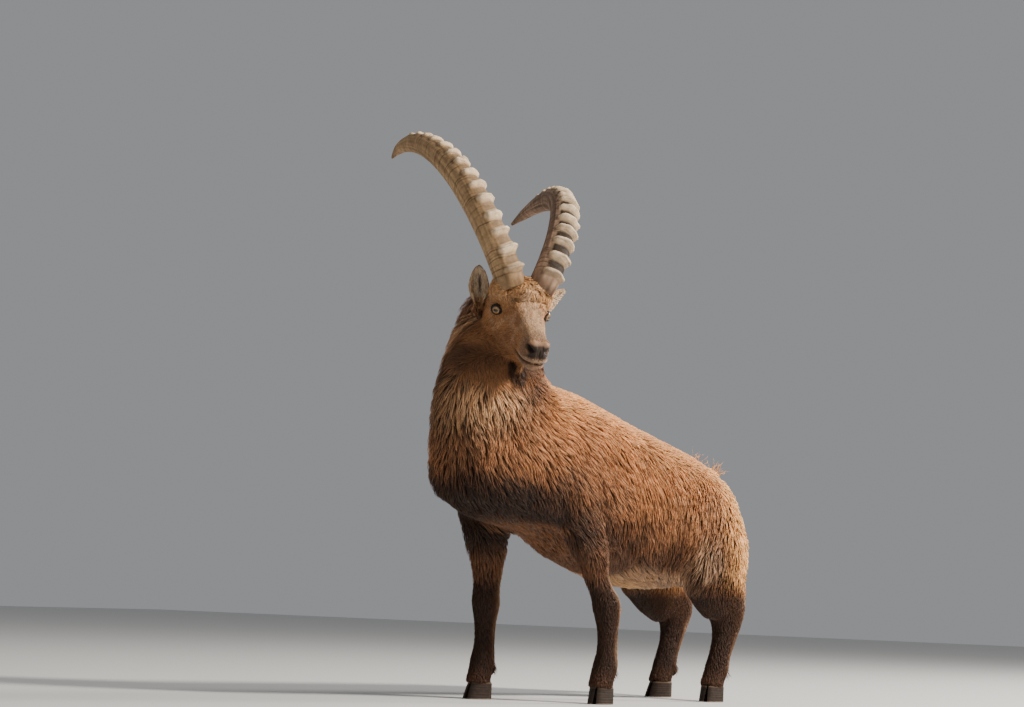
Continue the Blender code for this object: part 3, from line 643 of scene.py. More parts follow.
    # muzzle: grey brown, pale lips and chin, dark mouth line
    hc = mix(hc, srgb(146, 114, 90), 0.70 * ss(0.150, 0.178, f))
    mu = mouth_level(f)
    hc = mix(hc, srgb(172, 146, 120), 0.62 * ss(0.135, 0.160, f) * ss(mu - 0.004, mu - 0.014, u) * ss(-0.168, -0.156, u))
    hc = mix(hc, srgb(206, 178, 148), 0.42 * bump(u - mu, 0.0085, 0.0060) * ss(0.145, 0.172, f))
    # dark along the parting of the lips: dark lip skin and painted shade in the groove
    hc = mix(hc, srgb(38, 27, 22), 0.92 * bump(u - mu, -0.0005, 0.0068) * ss(0.130, 0.150, f))
    pad = ss(0.176, 0.190, f) * ss(0.022, 0.013, np.abs(u + 0.094)) * ss(0.030, 0.022, al)
    hc = mix(hc, srgb(38, 29, 26), 0.94 * pad)
    # nostril openings near black: painted shade in the hollows
    nost = bump(np.sqrt(((f - 0.197) / 0.016) ** 2 + ((u + 0.088) / 0.013) ** 2), 0, 1.0) * ss(0.006, 0.010, al)
    hc = mix(hc, SKIN_DARK * 0.3, nost)
    # beard: dark hair darkened further as painted shadow under the jaw
    hc = mix(hc, BLACK, 0.85 * bump(f, 0.100, 0.042) * ss(-0.158, -0.174, u) * ss(0.035, 0.02, al))
    k = r["head"]
    c = c * (1 - k[:, None]) + hc * k[:, None]
    c = c * (1 + (0.10 * wob2 + 0.10 * wob * (1 - 0.6 * k) + 0.08 * broad)[:, None])
    return np.clip(c, 0.002, 1)


# ---------------------------------------------------------------- skin
def ear_frame(side):
    base, tip, opens = head_point(EARS[side][0]), head_point(EARS[side][1]), np.array(EARS[side][2]) @ AX
    axis = tip - base
    length = np.linalg.norm(axis)
    axis = axis / length
    face = unit(opens - axis * np.dot(opens, axis))
    return base, axis, face, np.cross(axis, face), length


def ear_solid(side, wall=0.0036):
    """Cupped leaf: a thick crescent lofted from root to tip."""
    base, axis, face, across, length = ear_frame(side)
    rings = []
    for u in np.concatenate([[-0.10], np.linspace(0.0, 1.0, 22)]):
        w = EAR_WIDTH * 0.5 * np.interp(u, (-0.1, 0.08, 0.3, 0.5, 0.72, 0.87, 0.96, 1.0),
                                        (0.40, 0.55, 0.90, 1.0, 0.84, 0.56, 0.27, 0.10)) * 0.97
        curl = radians(np.interp(u, (-0.1, 0.2, 0.6, 1.0), (150, 118, 82, 40)))
        t = wall * np.interp(u, (0, 0.9, 1), (1.5, 1.0, 0.7))
        r = w / sin(min(curl, pi / 2))
        mid = base + axis * length * u * 0.985 - face * 0.060 * length * sin(pi * max(u, 0)) + face * r * cos(curl / 2)
        outer, inner = [], []
        for i in range(15):
            a = -curl + 2 * curl * i / 14
            outer.append(mid - face * (r + t / 2) * cos(a) + across * (r + t / 2) * sin(a))
            q = max(r - t / 2, 0.0006)
            inner.append(mid - face * q * cos(a) + across * q * sin(a))
        rings.append(outer + inner[::-1])
    return loft(rings)


def neck_plane():
    """The plane in the upper neck where the fine head meets the body."""
    jaw = head_point((-0.020, 0, -0.205))
    ahead = np.array([sin(radians(HEAD_YAW)), -cos(radians(HEAD_YAW)), 0.0])
    nrm = unit(0.42 * ahead + np.array([0, 0, 0.90]))
    return jaw - 0.014 * nrm, nrm


def keep_side(bm, at, nrm, above, fill):
    geom = bm.verts[:] + bm.edges[:] + bm.faces[:]
    bmesh.ops.bisect_plane(bm, geom=geom, dist=1e-7, plane_co=Vector(at), plane_no=Vector(nrm if above else -nrm), clear_inner=True)
    loose = [e for e in bm.edges if len(e.link_faces) == 1]
    if fill:
        bmesh.ops.holes_fill(bm, edges=loose, sides=0)
    return loose


def inward(ob, amount=1.0):
    """Move a surface in by the coat's depth at each place."""
    me = ob.data
    co, nr, ed = coords(me), normals(me), edges_of(me)
    nr = units(relax(nr, ed, 6))
    depth = coat_map(co, nr)[0]
    depth = relax(depth, ed, 6)
    set_coords(me, co - nr * depth[:, None] * amount)


def make_skin():
    limbs = [tube(FORELEG[s], k=4, n=24) for s in ("left", "right")] + [tube(hind_rows(s), k=4, n=24) for s in ("left", "right")]
    rows = smooth_rows(TRUNK, 4)
    ax, az = np.array([1.0, 0, 0]), np.array([0, 0, 1.0])
    trunk = loft([power_ring(np.array([0, y, m]), ax, az, w, top - m, m - low, 32, 2.15) for y, top, low, w, m in rows])
    bulk = [trunk, tube(NECK, k=4, n=30), tube(CREST, k=4, n=20)] + [ellipsoid((s * x, y, z), (a, b, c)) for x, y, z, a, b, c in MASSES for s in (1, -1)]
    ob = to_object("skin", merge(bulk + [b.copy() for b in limbs]))
    modified(ob, "REMESH", mode="VOXEL", voxel_size=0.010)
    modified(ob, "SMOOTH", factor=0.5, iterations=16)
    rows = smooth_rows(HEAD, 4)
    s = HEAD_SIZE
    head = loft([power_ring(head_point((f, 0, m)), AX[1], AX[2], w * s, (top - m) * s, (m - low) * s, 30, 2.25) for f, top, low, w, m in rows])
    masses = [ellipsoid(head_point((f, sg * l, u)), np.array((a, b, c)) * s, AX) for f, l, u, a, b, c in HEAD_MASSES for sg in (1, -1)]
    masses += [ellipsoid(head_point((f, l, u)), np.array((a, b, c)) * s, AX) for f, l, u, a, b, c in HEAD_SINGLE]
    rest = merge([head, tube(TAIL, k=4, n=18)] + limbs + masses)
    rest.from_mesh(ob.data)
    rest.to_mesh(ob.data)
    rest.free()
    modified(ob, "REMESH", mode="VOXEL", voxel_size=0.0042)
    modified(ob, "SMOOTH", factor=0.5, iterations=12)

    at, nrm = neck_plane()
    # the fine head, ears fused on
    bm = bmesh.new()
    bm.from_mesh(ob.data)
    keep_side(bm, at - 0.02 * nrm, nrm, True, True)
    fine = to_object("fine_head", bm)
    inward(fine)
    bm = merge([ear_solid("left"), ear_solid("right")])
    bm.from_mesh(fine.data)
    bm.to_mesh(fine.data)
    bm.free()
    modified(fine, "REMESH", mode="VOXEL", voxel_size=0.0025)
    modified(fine, "SMOOTH", factor=0.5, iterations=3)
    # the body, coarser
    inward(ob)
    modified(ob, "REMESH", mode="VOXEL", voxel_size=0.0068)
    modified(ob, "SMOOTH", factor=0.5, iterations=2)
    bm = bmesh.new()
    bm.from_mesh(ob.data)
    bmesh.ops.bisect_plane(bm, geom=bm.verts[:] + bm.edges[:] + bm.faces[:], dist=1e-7,
                           plane_co=(0, 0, HOOF_TOP - 0.004), plane_no=(0, 0, -1), clear_outer=True)
    bmesh.ops.holes_fill(bm, edges=[e for e in bm.edges if len(e.link_faces) == 1], sides=0)
    keep_side(bm, at, nrm, False, False)
    top = bmesh.new()
    top.from_mesh(fine.data)
    keep_side(top, at, nrm, True, False)
    tmp = bpy.data.meshes.new("tmp")
    top.to_mesh(tmp)
    top.free()
    bm.from_mesh(tmp)
    bpy.data.meshes.remove(tmp)
    bpy.data.objects.remove(fine, do_unlink=True)
    rim = [e for e in bm.edges if len(e.link_faces) == 1]
    bmesh.ops.bridge_loops(bm, edges=rim)
    bmesh.ops.triangulate(bm, faces=[f for f in bm.faces if len(f.verts) > 4])
    bmesh.ops.recalc_face_normals(bm, faces=bm.faces)
    left = sum(1 for e in bm.edges if len(e.link_faces) != 2)
    bm.to_mesh(ob.data)
    bm.free()
    print("skin: faces", len(ob.data.polygons), "open edges", left)
    return ob


def refine(ob, where):
    """Split once the faces where a test on their corners holds."""
    me = ob.data
    mask = where(coords(me))
    bm = bmesh.new()
    bm.from_mesh(me)
    bm.verts.ensure_lookup_table()
    edges = [e for e in bm.edges if mask[e.verts[0].index] and mask[e.verts[1].index]]
    bmesh.ops.subdivide_edges(bm, edges=edges, cuts=1, use_grid_fill=True, smooth=0.0)
    bmesh.ops.triangulate(bm, faces=[f for f in bm.faces if len(f.verts) > 4])
    bm.to_mesh(me)
    bm.free()


def eye_frame(side):
    s = 1 if side == "left" else -1
    f, l, u = EYE_AT
    surface = head_point((f, s * l, u))
    axis = unit(np.array((EYE_AXIS[0], s * EYE_AXIS[1], EYE_AXIS[2])) @ AX)
    centre = surface - axis * EYE_R
    axis = unit(np.array((0.66, s * 0.75, 0.06)) @ AX)   # the lids open a little further forward
    along = unit(AX[0] - axis * np.dot(AX[0], axis))     # towards the nose
    up = np.cross(along, axis) * (1 if s > 0 else -1)
    if np.dot(up, AX[2]) < 0:
        up = -up
    return centre, axis, along, up


def lid_edge(a):
    """Half opening angle of the lids at angle a, 0 towards the nose, 90 degrees up."""
    c, s = np.cos(a), np.sin(a)
    wide = np.where(c > 0, 0.96, 0.98)
    high = np.where(s > 0, 0.74, 0.64)
    return 1 / np.sqrt((c / wide) ** 2 + (s / high) ** 2)


def sculpt(ob):
    """Lids, brows, nostrils, mouth and muscles, by moving the skin's points."""
    me = ob.data
    co = coords(me)
    h = to_head(co)
    near = (h[:, 0] > -0.13) & (h[:, 0] < 0.24) & (np.abs(h[:, 1]) < 0.13) & (h[:, 2] > -0.23) & (h[:, 2] < 0.05)
    i = np.nonzero(near)[0]
    q, hh = co[i], h[i]
    f, l, u = hh.T
    al = np.abs(l)
    nr = normals(me)[i]
    move = np.zeros(len(i))
    # cheek muscle, line of the zygoma, hollow before it
    move += 0.0035 * bump(u, -0.085 - 0.25 * (f - 0.06), 0.016) * bump(f, 0.050, 0.055) * ss(0.030, 0.045, al)
    move -= 0.0045 * bump(f, 0.100, 0.040) * bump(u, -0.100, 0.030) * ss(0.02, 0.035, al)
    move += 0.0040 * bump(f, 0.000, 0.055) * bump(u, -0.140, 0.045) * ss(0.03, 0.05, al)
    # hollow before the orbit, so that the lids face forward
    move -= 0.0085 * bump(f, 0.074, 0.034) * bump(u, -0.070, 0.036) * ss(0.026, 0.042, al)
    # flat bridge of the nose
    move += 0.0015 * ss(0.06, 0.09, f) * ss(0.19, 0.16, f) * bump(al, 0.020, 0.012) * ss(-0.09, -0.06, u)
    # lips and mouth line
    along = ss(0.118, 0.138, f)
    gap = u - mouth_level(f)
    move -= 0.0058 * along * bump(gap, 0.0, 0.0046)
    move += 0.0030 * along * bump(gap, 0.0090, 0.0075)
    move += 0.0030 * along * bump(gap, -0.0095, 0.0085)
    # nostril: a comma that opens to the side and front
    nf, nu = f - 0.1985, u + 0.0885
    a = nf * 0.80 - nu * 0.60
    b = nf * 0.60 + nu * 0.80
    comma = (a / 0.0122) ** 2 + ((b - 0.10 * a) / 0.0064) ** 2
    side_ok = ss(0.006, 0.010, al)
    move -= 0.0105 * np.clip(1 - comma, 0, 1) ** 0.6 * side_ok * (f > 0.18)
    move += 0.0022 * bump(np.sqrt(comma), 1.55, 0.75) * side_ok * (f > 0.17)
    # groove from nose to lip
    move -= 0.0022 * bump(l, 0.0, 0.0035) * ss(0.196, 0.204, f) * ss(-0.085, -0.095, u) * ss(-0.127, -0.120, u)
    q = q + nr * move[:, None] * HEAD_SIZE
    co[i] = q
    ed = edges_of(me)
    spot = np.zeros(len(co))
    for side in ("left", "right"):
        c, axis, fwd, up = eye_frame(side)
        spot = np.maximum(spot, ss(0.046, 0.034, np.linalg.norm(co - c, axis=1)))
    even = relax(co, ed, 6)
    co = co + (even - co) * spot[:, None]
    # eyes: socket, lids and brow
    for step in range(3):
        for side in ("left", "right"):
            c, axis, fwd, up = eye_frame(side)
            v = co - c
            dist = np.linalg.norm(v, axis=1)
            d = v / dist[:, None]
            ca = np.clip(d @ axis, -1, 1)
            az = np.arctan2(d @ up, d @ fwd)
            t = np.arccos(ca) / lid_edge(az)                  # 1 on the lid's margin
            zone = (dist < 0.050) & (ca > 0.0)
            want_lid = EYE_R + 0.0012 + 0.0015 * np.exp(-((t - 1.10) / 0.12) ** 2)
            want_lid = want_lid + 0.0032 * bump(t, 1.75, 0.50) * ss(-0.2, 0.5, np.sin(az)) + 0.0014 * bump(t, 1.6, 0.40) * ss(0.2, -0.5, np.sin(az))
            inside = ss(1.03, 0.93, t)
            reach = 1.95 if step == 0 else 1.22
            lid = ss(reach, 1.08 if step == 0 else 1.12, t) * (1 - inside) * ss(0.02, 0.30, ca)
            r = dist * (1 - lid) + want_lid * lid
            r = r * (1 - inside) + np.minimum(r, EYE_R - 0.0035) * inside
            co = co + d * ((r - dist) * zone)[:, None]
        if step < 2:
            even = relax(co, ed, 3)
            co = co + (even - co) * spot[:, None]
    # sinews of the lower legs and a dip above the hooves
    r = regions(co)
    nr = normals(me)
    z = co[:, 2]
    low = r["low"] * ss(0.24, 0.20, z) * ss(0.09, 0.12, z)
    co -= nr * (0.0022 * low * bump(np.abs(nr[:, 0]), 0.95, 0.35) * bump(nr[:, 1], 0.25, 0.30))[:, None]
    set_coords(me, co)
    me.update()


def ear_inside(p):
    """How far a point lies in the cup of an ear, 0 to 1, and along it."""
    best, along = np.zeros(len(p)), np.zeros(len(p))
    back = np.zeros(len(p))
    for side in ("left", "right"):
        base, axis, face, across, length = ear_frame(side)
        v = p - base
        s = v @ axis / length
        w = EAR_WIDTH * 0.5 * np.interp(s, (-0.1, 0.08, 0.3, 0.5, 0.72, 0.87, 0.96, 1.0), (0.40, 0.55, 0.90, 1.0, 0.84, 0.56, 0.27, 0.10))
        a = v @ across
        b = v @ face + 0.060 * length * np.sin(pi * np.clip(s, 0, 1))
        on = ((s > -0.02) & (s < 1.05) & (np.abs(a) < w + 0.010) & (np.abs(b) < 0.040)).astype(float) * ss(-0.02, 0.16, s)
        best = np.maximum(best, on)
        along = np.where(on > 0, s, along)
        back = np.where(on > 0, a / np.maximum(w, 1e-3), back)
    return best, along, back


def ear_normals(p, n):
    """Dot of the normal with the way the nearest ear opens."""
    out = np.zeros(len(p))
    for side in ("left", "right"):
        base, axis, face, across, length = ear_frame(side)
        on = np.linalg.norm(p - (base + axis * length * 0.5), axis=1) < 0.085
        out = np.where(on, n @ face, out)
    return out


# ---------------------------------------------------------------- materials
def nodes_of(mat):
    mat.use_nodes = True
    return mat.node_tree.nodes, mat.node_tree.links


def principled(name, rough, spec=0.5, **extra):
    mat = bpy.data.materials.new(name)
    nd, ln = nodes_of(mat)
    b = nd["Principled BSDF"]
    b.inputs["Roughness"].default_value = rough
    b.inputs["Specular IOR Level"].default_value = spec
    for k, v in extra.items():
        b.inputs[k.replace("_", " ")].default_value = v
    return mat, nd, ln, b


def ramp(nd, stops):
    r = nd.new("ShaderNodeValToRGB")
    el = r.color_ramp.elements
    while len(el) < len(stops):
        el.new(0.5)
    for e, (pos, col) in zip(el, stops):
        e.position = pos
        e.color = (*col, 1) if len(col) == 3 else col
    return r


def fur_material(name, rough=0.62, strength=0.35, scale=900.0, strands=False):
    """Colour from the markings and painted shade, broken by fine streaks; bump of fine hair."""
    mat, nd, ln, b = principled(name, rough, 0.20, Sheen_Weight=0.05, Sheen_Roughness=0.5)
    at = nd.new("ShaderNodeAttribute")
    at.attribute_name = "tint"
    co = nd.new("ShaderNodeTexCoord")
    fine = nd.new("ShaderNodeTexNoise")
    if strands:
        # across a tuft many strands, along it few changes
        uv = nd.new("ShaderNodeUVMap")
        uv.uv_map = "OFBake"
        sc = nd.new("ShaderNodeVectorMath")
        sc.operation = "MULTIPLY"
        sc.inputs[1].default_value = (3000.0, 520.0, 1.0)
        ln.new(uv.outputs["UV"], sc.inputs[0])
        ln.new(sc.outputs["Vector"], fine.inputs["Vector"])
        fine.inputs["Scale"].default_value = 1.0
    else:
        ln.new(co.outputs["Object"], fine.inputs["Vector"])
        fine.inputs["Scale"].default_value = scale
    fine.inputs["Detail"].default_value = 2.0
    mr = nd.new("ShaderNodeMapRange")
    mr.inputs["From Min"].default_value = 0.3
    mr.inputs["From Max"].default_value = 0.7
    mr.inputs["To Min"].default_value = 0.74
    mr.inputs["To Max"].default_value = 1.24
    ln.new(fine.outputs["Fac"], mr.inputs["Value"])
    mul = nd.new("ShaderNodeMix")
    mul.data_type = "RGBA"
    mul.blend_type = "MULTIPLY"
    mul.inputs["Factor"].default_value = 1.0
    ln.new(at.outputs["Color"], mul.inputs["A"])
    ln.new(mr.outputs["Result"], mul.inputs["B"])
    ln.new(mul.outputs["Result"], b.inputs["Base Color"])
    bp = nd.new("ShaderNodeBump")
    bp.inputs["Strength"].default_value = strength
    bp.inputs["Distance"].default_value = 0.0010
    ln.new(fine.outputs["Fac"], bp.inputs["Height"])
    ln.new(bp.outputs["Normal"], b.inputs["Normal"])
    return mat


def tint(mesh, colours):
    a = mesh.attributes.get("tint") or mesh.attributes.new("tint", "FLOAT_COLOR", "POINT")
    rgba = np.ones((len(colours), 4), np.float32)
    rgba[:, :3] = colours
    a.data.foreach_set("color", rgba.ravel())
    mesh.color_attributes.active_color = a


def shift(co):
    return co - CENTRE


# ---------------------------------------------------------------- camera
def make_camera():
    """The photograph's view: a long lens, a little below the animal's back."""
    az, dist, h, f_px, roll = radians(35.0), 8.5, 0.30, 3152.0, radians(2.0)
    pos = np.array([sin(az) * dist, -cos(az) * dist, h])
    aim = np.array([0.0, 0.0, 0.88])
    ax, ay = (548.0 - 512) / f_px, (374.0 - 353.5) / f_px     # where the aim point falls
    d = unit(aim - pos)
    yaw = np.arctan2(-d[0], d[1])
    # turn and tilt the axis so that the aim point falls off the middle
    fwd = unit(d)
    for _ in range(20):
        right = unit(np.cross(fwd, (0, 0, 1.0)))
        up = np.cross(right, fwd)
        r2, u2 = cos(roll) * right + sin(roll) * up, -sin(roll) * right + cos(roll) * up
        k = np.dot(aim - pos, fwd)
        ex = np.dot(aim - pos, r2) / k - ax
        ey = np.dot(aim - pos, u2) / k + ay
        fwd = unit(fwd + r2 * ex + u2 * ey)
    cam = bpy.data.cameras.new("camera")
    cam.sensor_width = 36.0
    cam.lens = f_px * 36.0 / 1024
    cam.clip_end = 60
    ob = bpy.data.objects.new("camera", cam)
    bpy.context.scene.collection.objects.link(ob)
    m = Matrix(((r2[0], u2[0], -fwd[0], pos[0] - CENTRE[0]), (r2[1], u2[1], -fwd[1], pos[1] - CENTRE[1]),
                (r2[2], u2[2], -fwd[2], pos[2]), (0, 0, 0, 1)))
    ob.matrix_world = m
    bpy.context.scene.camera = ob


def make_stage():
    bm = bmesh.new()
    bmesh.ops.create_grid(bm, x_segments=2, y_segments=2, size=14)
    floor = to_object("floor", bm)
    mat, nd, ln, b = principled("floor", 0.75, 0.3)
    b.inputs["Base Color"].default_value = (0.60, 0.60, 0.59, 1)
    floor.data.materials.append(mat)
    w = bpy.context.scene.world or bpy.data.worlds.new("world")
    bpy.context.scene.world = w
    w.use_nodes = True
    bg = w.node_tree.nodes["Background"]
    bg.inputs["Color"].default_value = (0.70, 0.71, 0.74, 1)
    bg.inputs["Strength"].default_value = 0.40

    def area(name, at, to, size, power, colour):
        li = bpy.data.lights.new(name, "AREA")
        li.shape = "DISK"
        li.size = size
        li.energy = power
        li.color = colour
        ob = bpy.data.objects.new(name, li)
        bpy.context.scene.collection.objects.link(ob)
        ob.location = Vector(at)
        ob.rotation_euler = (Vector(to) - Vector(at)).to_track_quat("-Z", "Y").to_euler()
    # key from the photograph's sunny side, to the right and above
    area("key", (5.1, 1.3, 4.5), (0.1, -0.1, 0.7), 1.2, 860, (1.0, 0.93, 0.83))
    area("fill", (0.8, -6.0, 2.6), (0.1, 0, 0.6), 3.5, 45, (1.0, 0.97, 0.94))
    area("rim", (2.2, 5.2, 3.4), (0.0, 0.2, 0.7), 1.6, 340, (1.0, 0.95, 0.88))


# ---------------------------------------------------------------- coat
def sample(mesh, density_of, count=None):
    """Evenly spread random roots on a mesh: points, normals."""
    mesh.calc_loop_triangles()
    n = len(mesh.loop_triangles)
    tri = np.empty(n * 3, np.int32)
    mesh.loop_triangles.foreach_get("vertices", tri)
    tri = tri.reshape(-1, 3)
    co, nr = coords(mesh), normals(mesh)
    a, b, c = co[tri[:, 0]], co[tri[:, 1]], co[tri[:, 2]]
    area = 0.5 * np.linalg.norm(np.cross(b - a, c - a), axis=1)
    mid = (a + b + c) / 3
    mn = units(nr[tri].mean(1))
    want = area * density_of(mid, mn)
    if count:
        print("tufts wanted", int(want.sum()), "made", count)
        want = want * (count + 0.5) / want.sum()
    # order triangles along a space filling curve, then take even steps
    g = np.clip(((mid - mid.min(0)) / 0.004).astype(np.int64), 0, 1023)
    key = np.zeros(n, np.int64)
    for bit in range(10):
        for k in range(3):
            key |= ((g[:, k] >> bit) & 1) << (3 * bit + k)
    order = np.argsort(key, kind="stable")
    cum = np.cumsum(want[order])
    total = int(cum[-1])
    at = (np.arange(total) + RNG.random(total)) * cum[-1] / total
    pick = order[np.minimum(np.searchsorted(cum, at), n - 1)]
    r1, r2 = np.sqrt(RNG.random(total)), RNG.random(total)
    w = np.stack([1 - r1, r1 * (1 - r2), r1 * r2], 1)
    p = (co[tri[pick]] * w[:, :, None]).sum(1)
    nn = units((nr[tri[pick]] * w[:, :, None]).sum(1))
    return p, nn


def on_surface(tree, q, reach=0.06):
    """Nearest points of the skin and their normals."""
    out, nn = np.array(q), np.zeros_like(q)
    for i, v in enumerate(q):
        loc, nrm, _, _ = tree.find_nearest(Vector(v), reach)
        if loc is not None:
            out[i] = loc
            nn[i] = nrm
    return out, nn


def tuft_mesh(name, root, nrm, direction, length, width, height, tip, tip_n, wave, phase, colour, spread, uv):
    """Joined tufts: each a flat three-sided lock with two bends, closed at the root."""
    n = len(root)
    side = units(np.cross(nrm, direction))
    steps = (0.0, 0.36, 0.72, 1.0)
    lift = (-0.06, 0.62, 0.98, 1.0)
    wide = (0.60, 1.0, 0.62, 0.0)
    verts = np.empty((n, 10, 3))
    cols = np.empty((n, 10, 3))
    # darker towards the root and lighter at the tip: partly the hair's own tone, partly painted shade deep in the coat
    shade = (0.62, 0.84, 1.04, 1.16)
    for k, (s, hgt, w) in enumerate(zip(steps, lift, wide)):
        base = root * (1 - s) + tip * s
        base = base + direction * (length * s * (1 - s) * 0.10)[:, None]
        nn = units(nrm * (1 - s) + tip_n * s)
        base = base + nn * (height * hgt)[:, None]
        base = base + side * (wave * np.sin(phase + s * 5.4) * s)[:, None]
        if k < 3:
            half = (width * w * 0.5)[:, None]
            thick = (width * w * 0.24)[:, None]
            verts[:, 3 * k] = base + side * half - nn * thick * 0.5
            verts[:, 3 * k + 1] = base - side * half - nn * thick * 0.5
            verts[:, 3 * k + 2] = base + nn * thick
            cols[:, 3 * k:3 * k + 3] = (colour * (1 + (shade[k] - 1) * spread[:, None]))[:, None]
        else:
            verts[:, 9] = base
            cols[:, 9] = colour * (1 + (shade[k] - 1) * spread[:, None])
    f = [(2, 1, 0)]
    for k in (0, 3):
        for a, b in ((0, 1), (1, 2), (2, 0)):
            f += [(k + a, k + b, k + 3 + b), (k + a, k + 3 + b, k + 3 + a)]
    f += [(6, 7, 9), (7, 8, 9), (8, 6, 9)]
    f = np.array(f, np.int64)
    faces = (np.arange(n)[:, None, None] * 10 + f[None]).reshape(-1, 3)
    mesh = bpy.data.meshes.new(name)
    mesh.vertices.add(n * 10)
    mesh.vertices.foreach_set("co", shift(verts.reshape(-1, 3)).astype(np.float32).ravel())
    mesh.loops.add(faces.size)
    mesh.loops.foreach_set("vertex_index", faces.astype(np.int32).ravel())
    mesh.polygons.add(len(faces))
    mesh.polygons.foreach_set("loop_start", np.arange(0, faces.size, 3, dtype=np.int32))
    mesh.polygons.foreach_set("loop_total", np.full(len(faces), 3, np.int32))
    mesh.polygons.foreach_set("use_smooth", np.ones(len(faces), bool))
    mesh.update(calc_edges=True)
    tint(mesh, np.clip(cols.reshape(-1, 3), 0.001, 1.0))
    # a small patch for each tuft, at its root's place on the unwrap
    local = np.array([(0.9, 0.0), (0.1, 0.0), (0.5, 0.0), (1.0, 0.36), (0.0, 0.36), (0.5, 0.36),
                      (0.9, 0.72), (0.1, 0.72), (0.5, 0.72), (0.5, 1.0)]) - 0.5
    per_vert = uv[:, None, :] + local[None] * 0.003
    layer = mesh.uv_layers.new(name="OFBake")
    layer.data.foreach_set("uv", per_vert.reshape(-1, 2)[faces.ravel()].astype(np.float32).ravel())
    mesh.validate(clean_customdata=False)
    return mesh


def chart(p, kind):
    """Unwrap of the skin round the axis of each part: u around, v along."""
    x, y, z = p.T
    if kind == "trunk":
        a = np.arctan2(x, z - 0.58) / (2 * pi) + 0.5
        v = (y + 0.45) / 1.40
    elif kind == "neck":
        a = np.arctan2(x + 0.02, -(y + 0.20)) / (2 * pi) + 0.5
        v = (z - 0.55) / 0.60
    elif kind == "head":
        h = to_head(p)
        a = np.arctan2(h[:, 1], h[:, 2] + 0.08) / (2 * pi) + 0.5
        v = (h[:, 0] + 0.20) / 0.44
    else:
        q = (x > 0).astype(float) * 0.5 + (y > 0.3) * 0.25
        cx = np.where(y > 0.3, np.where(x > 0, 0.15, -0.12), np.where(x > 0, 0.165, -0.135))
        cy = np.where(y > 0.3, np.where(x > 0, 0.69, 0.82), np.where(x > 0, 0.05, -0.07))
        a = (np.arctan2(x - cx, y - cy) / (2 * pi) + 0.5) * 0.24 + q
        v = z / 0.50
    return np.stack([0.02 + 0.96 * np.clip(a, 0, 1), 0.02 + 0.96 * np.clip(v, 0, 1)], 1)


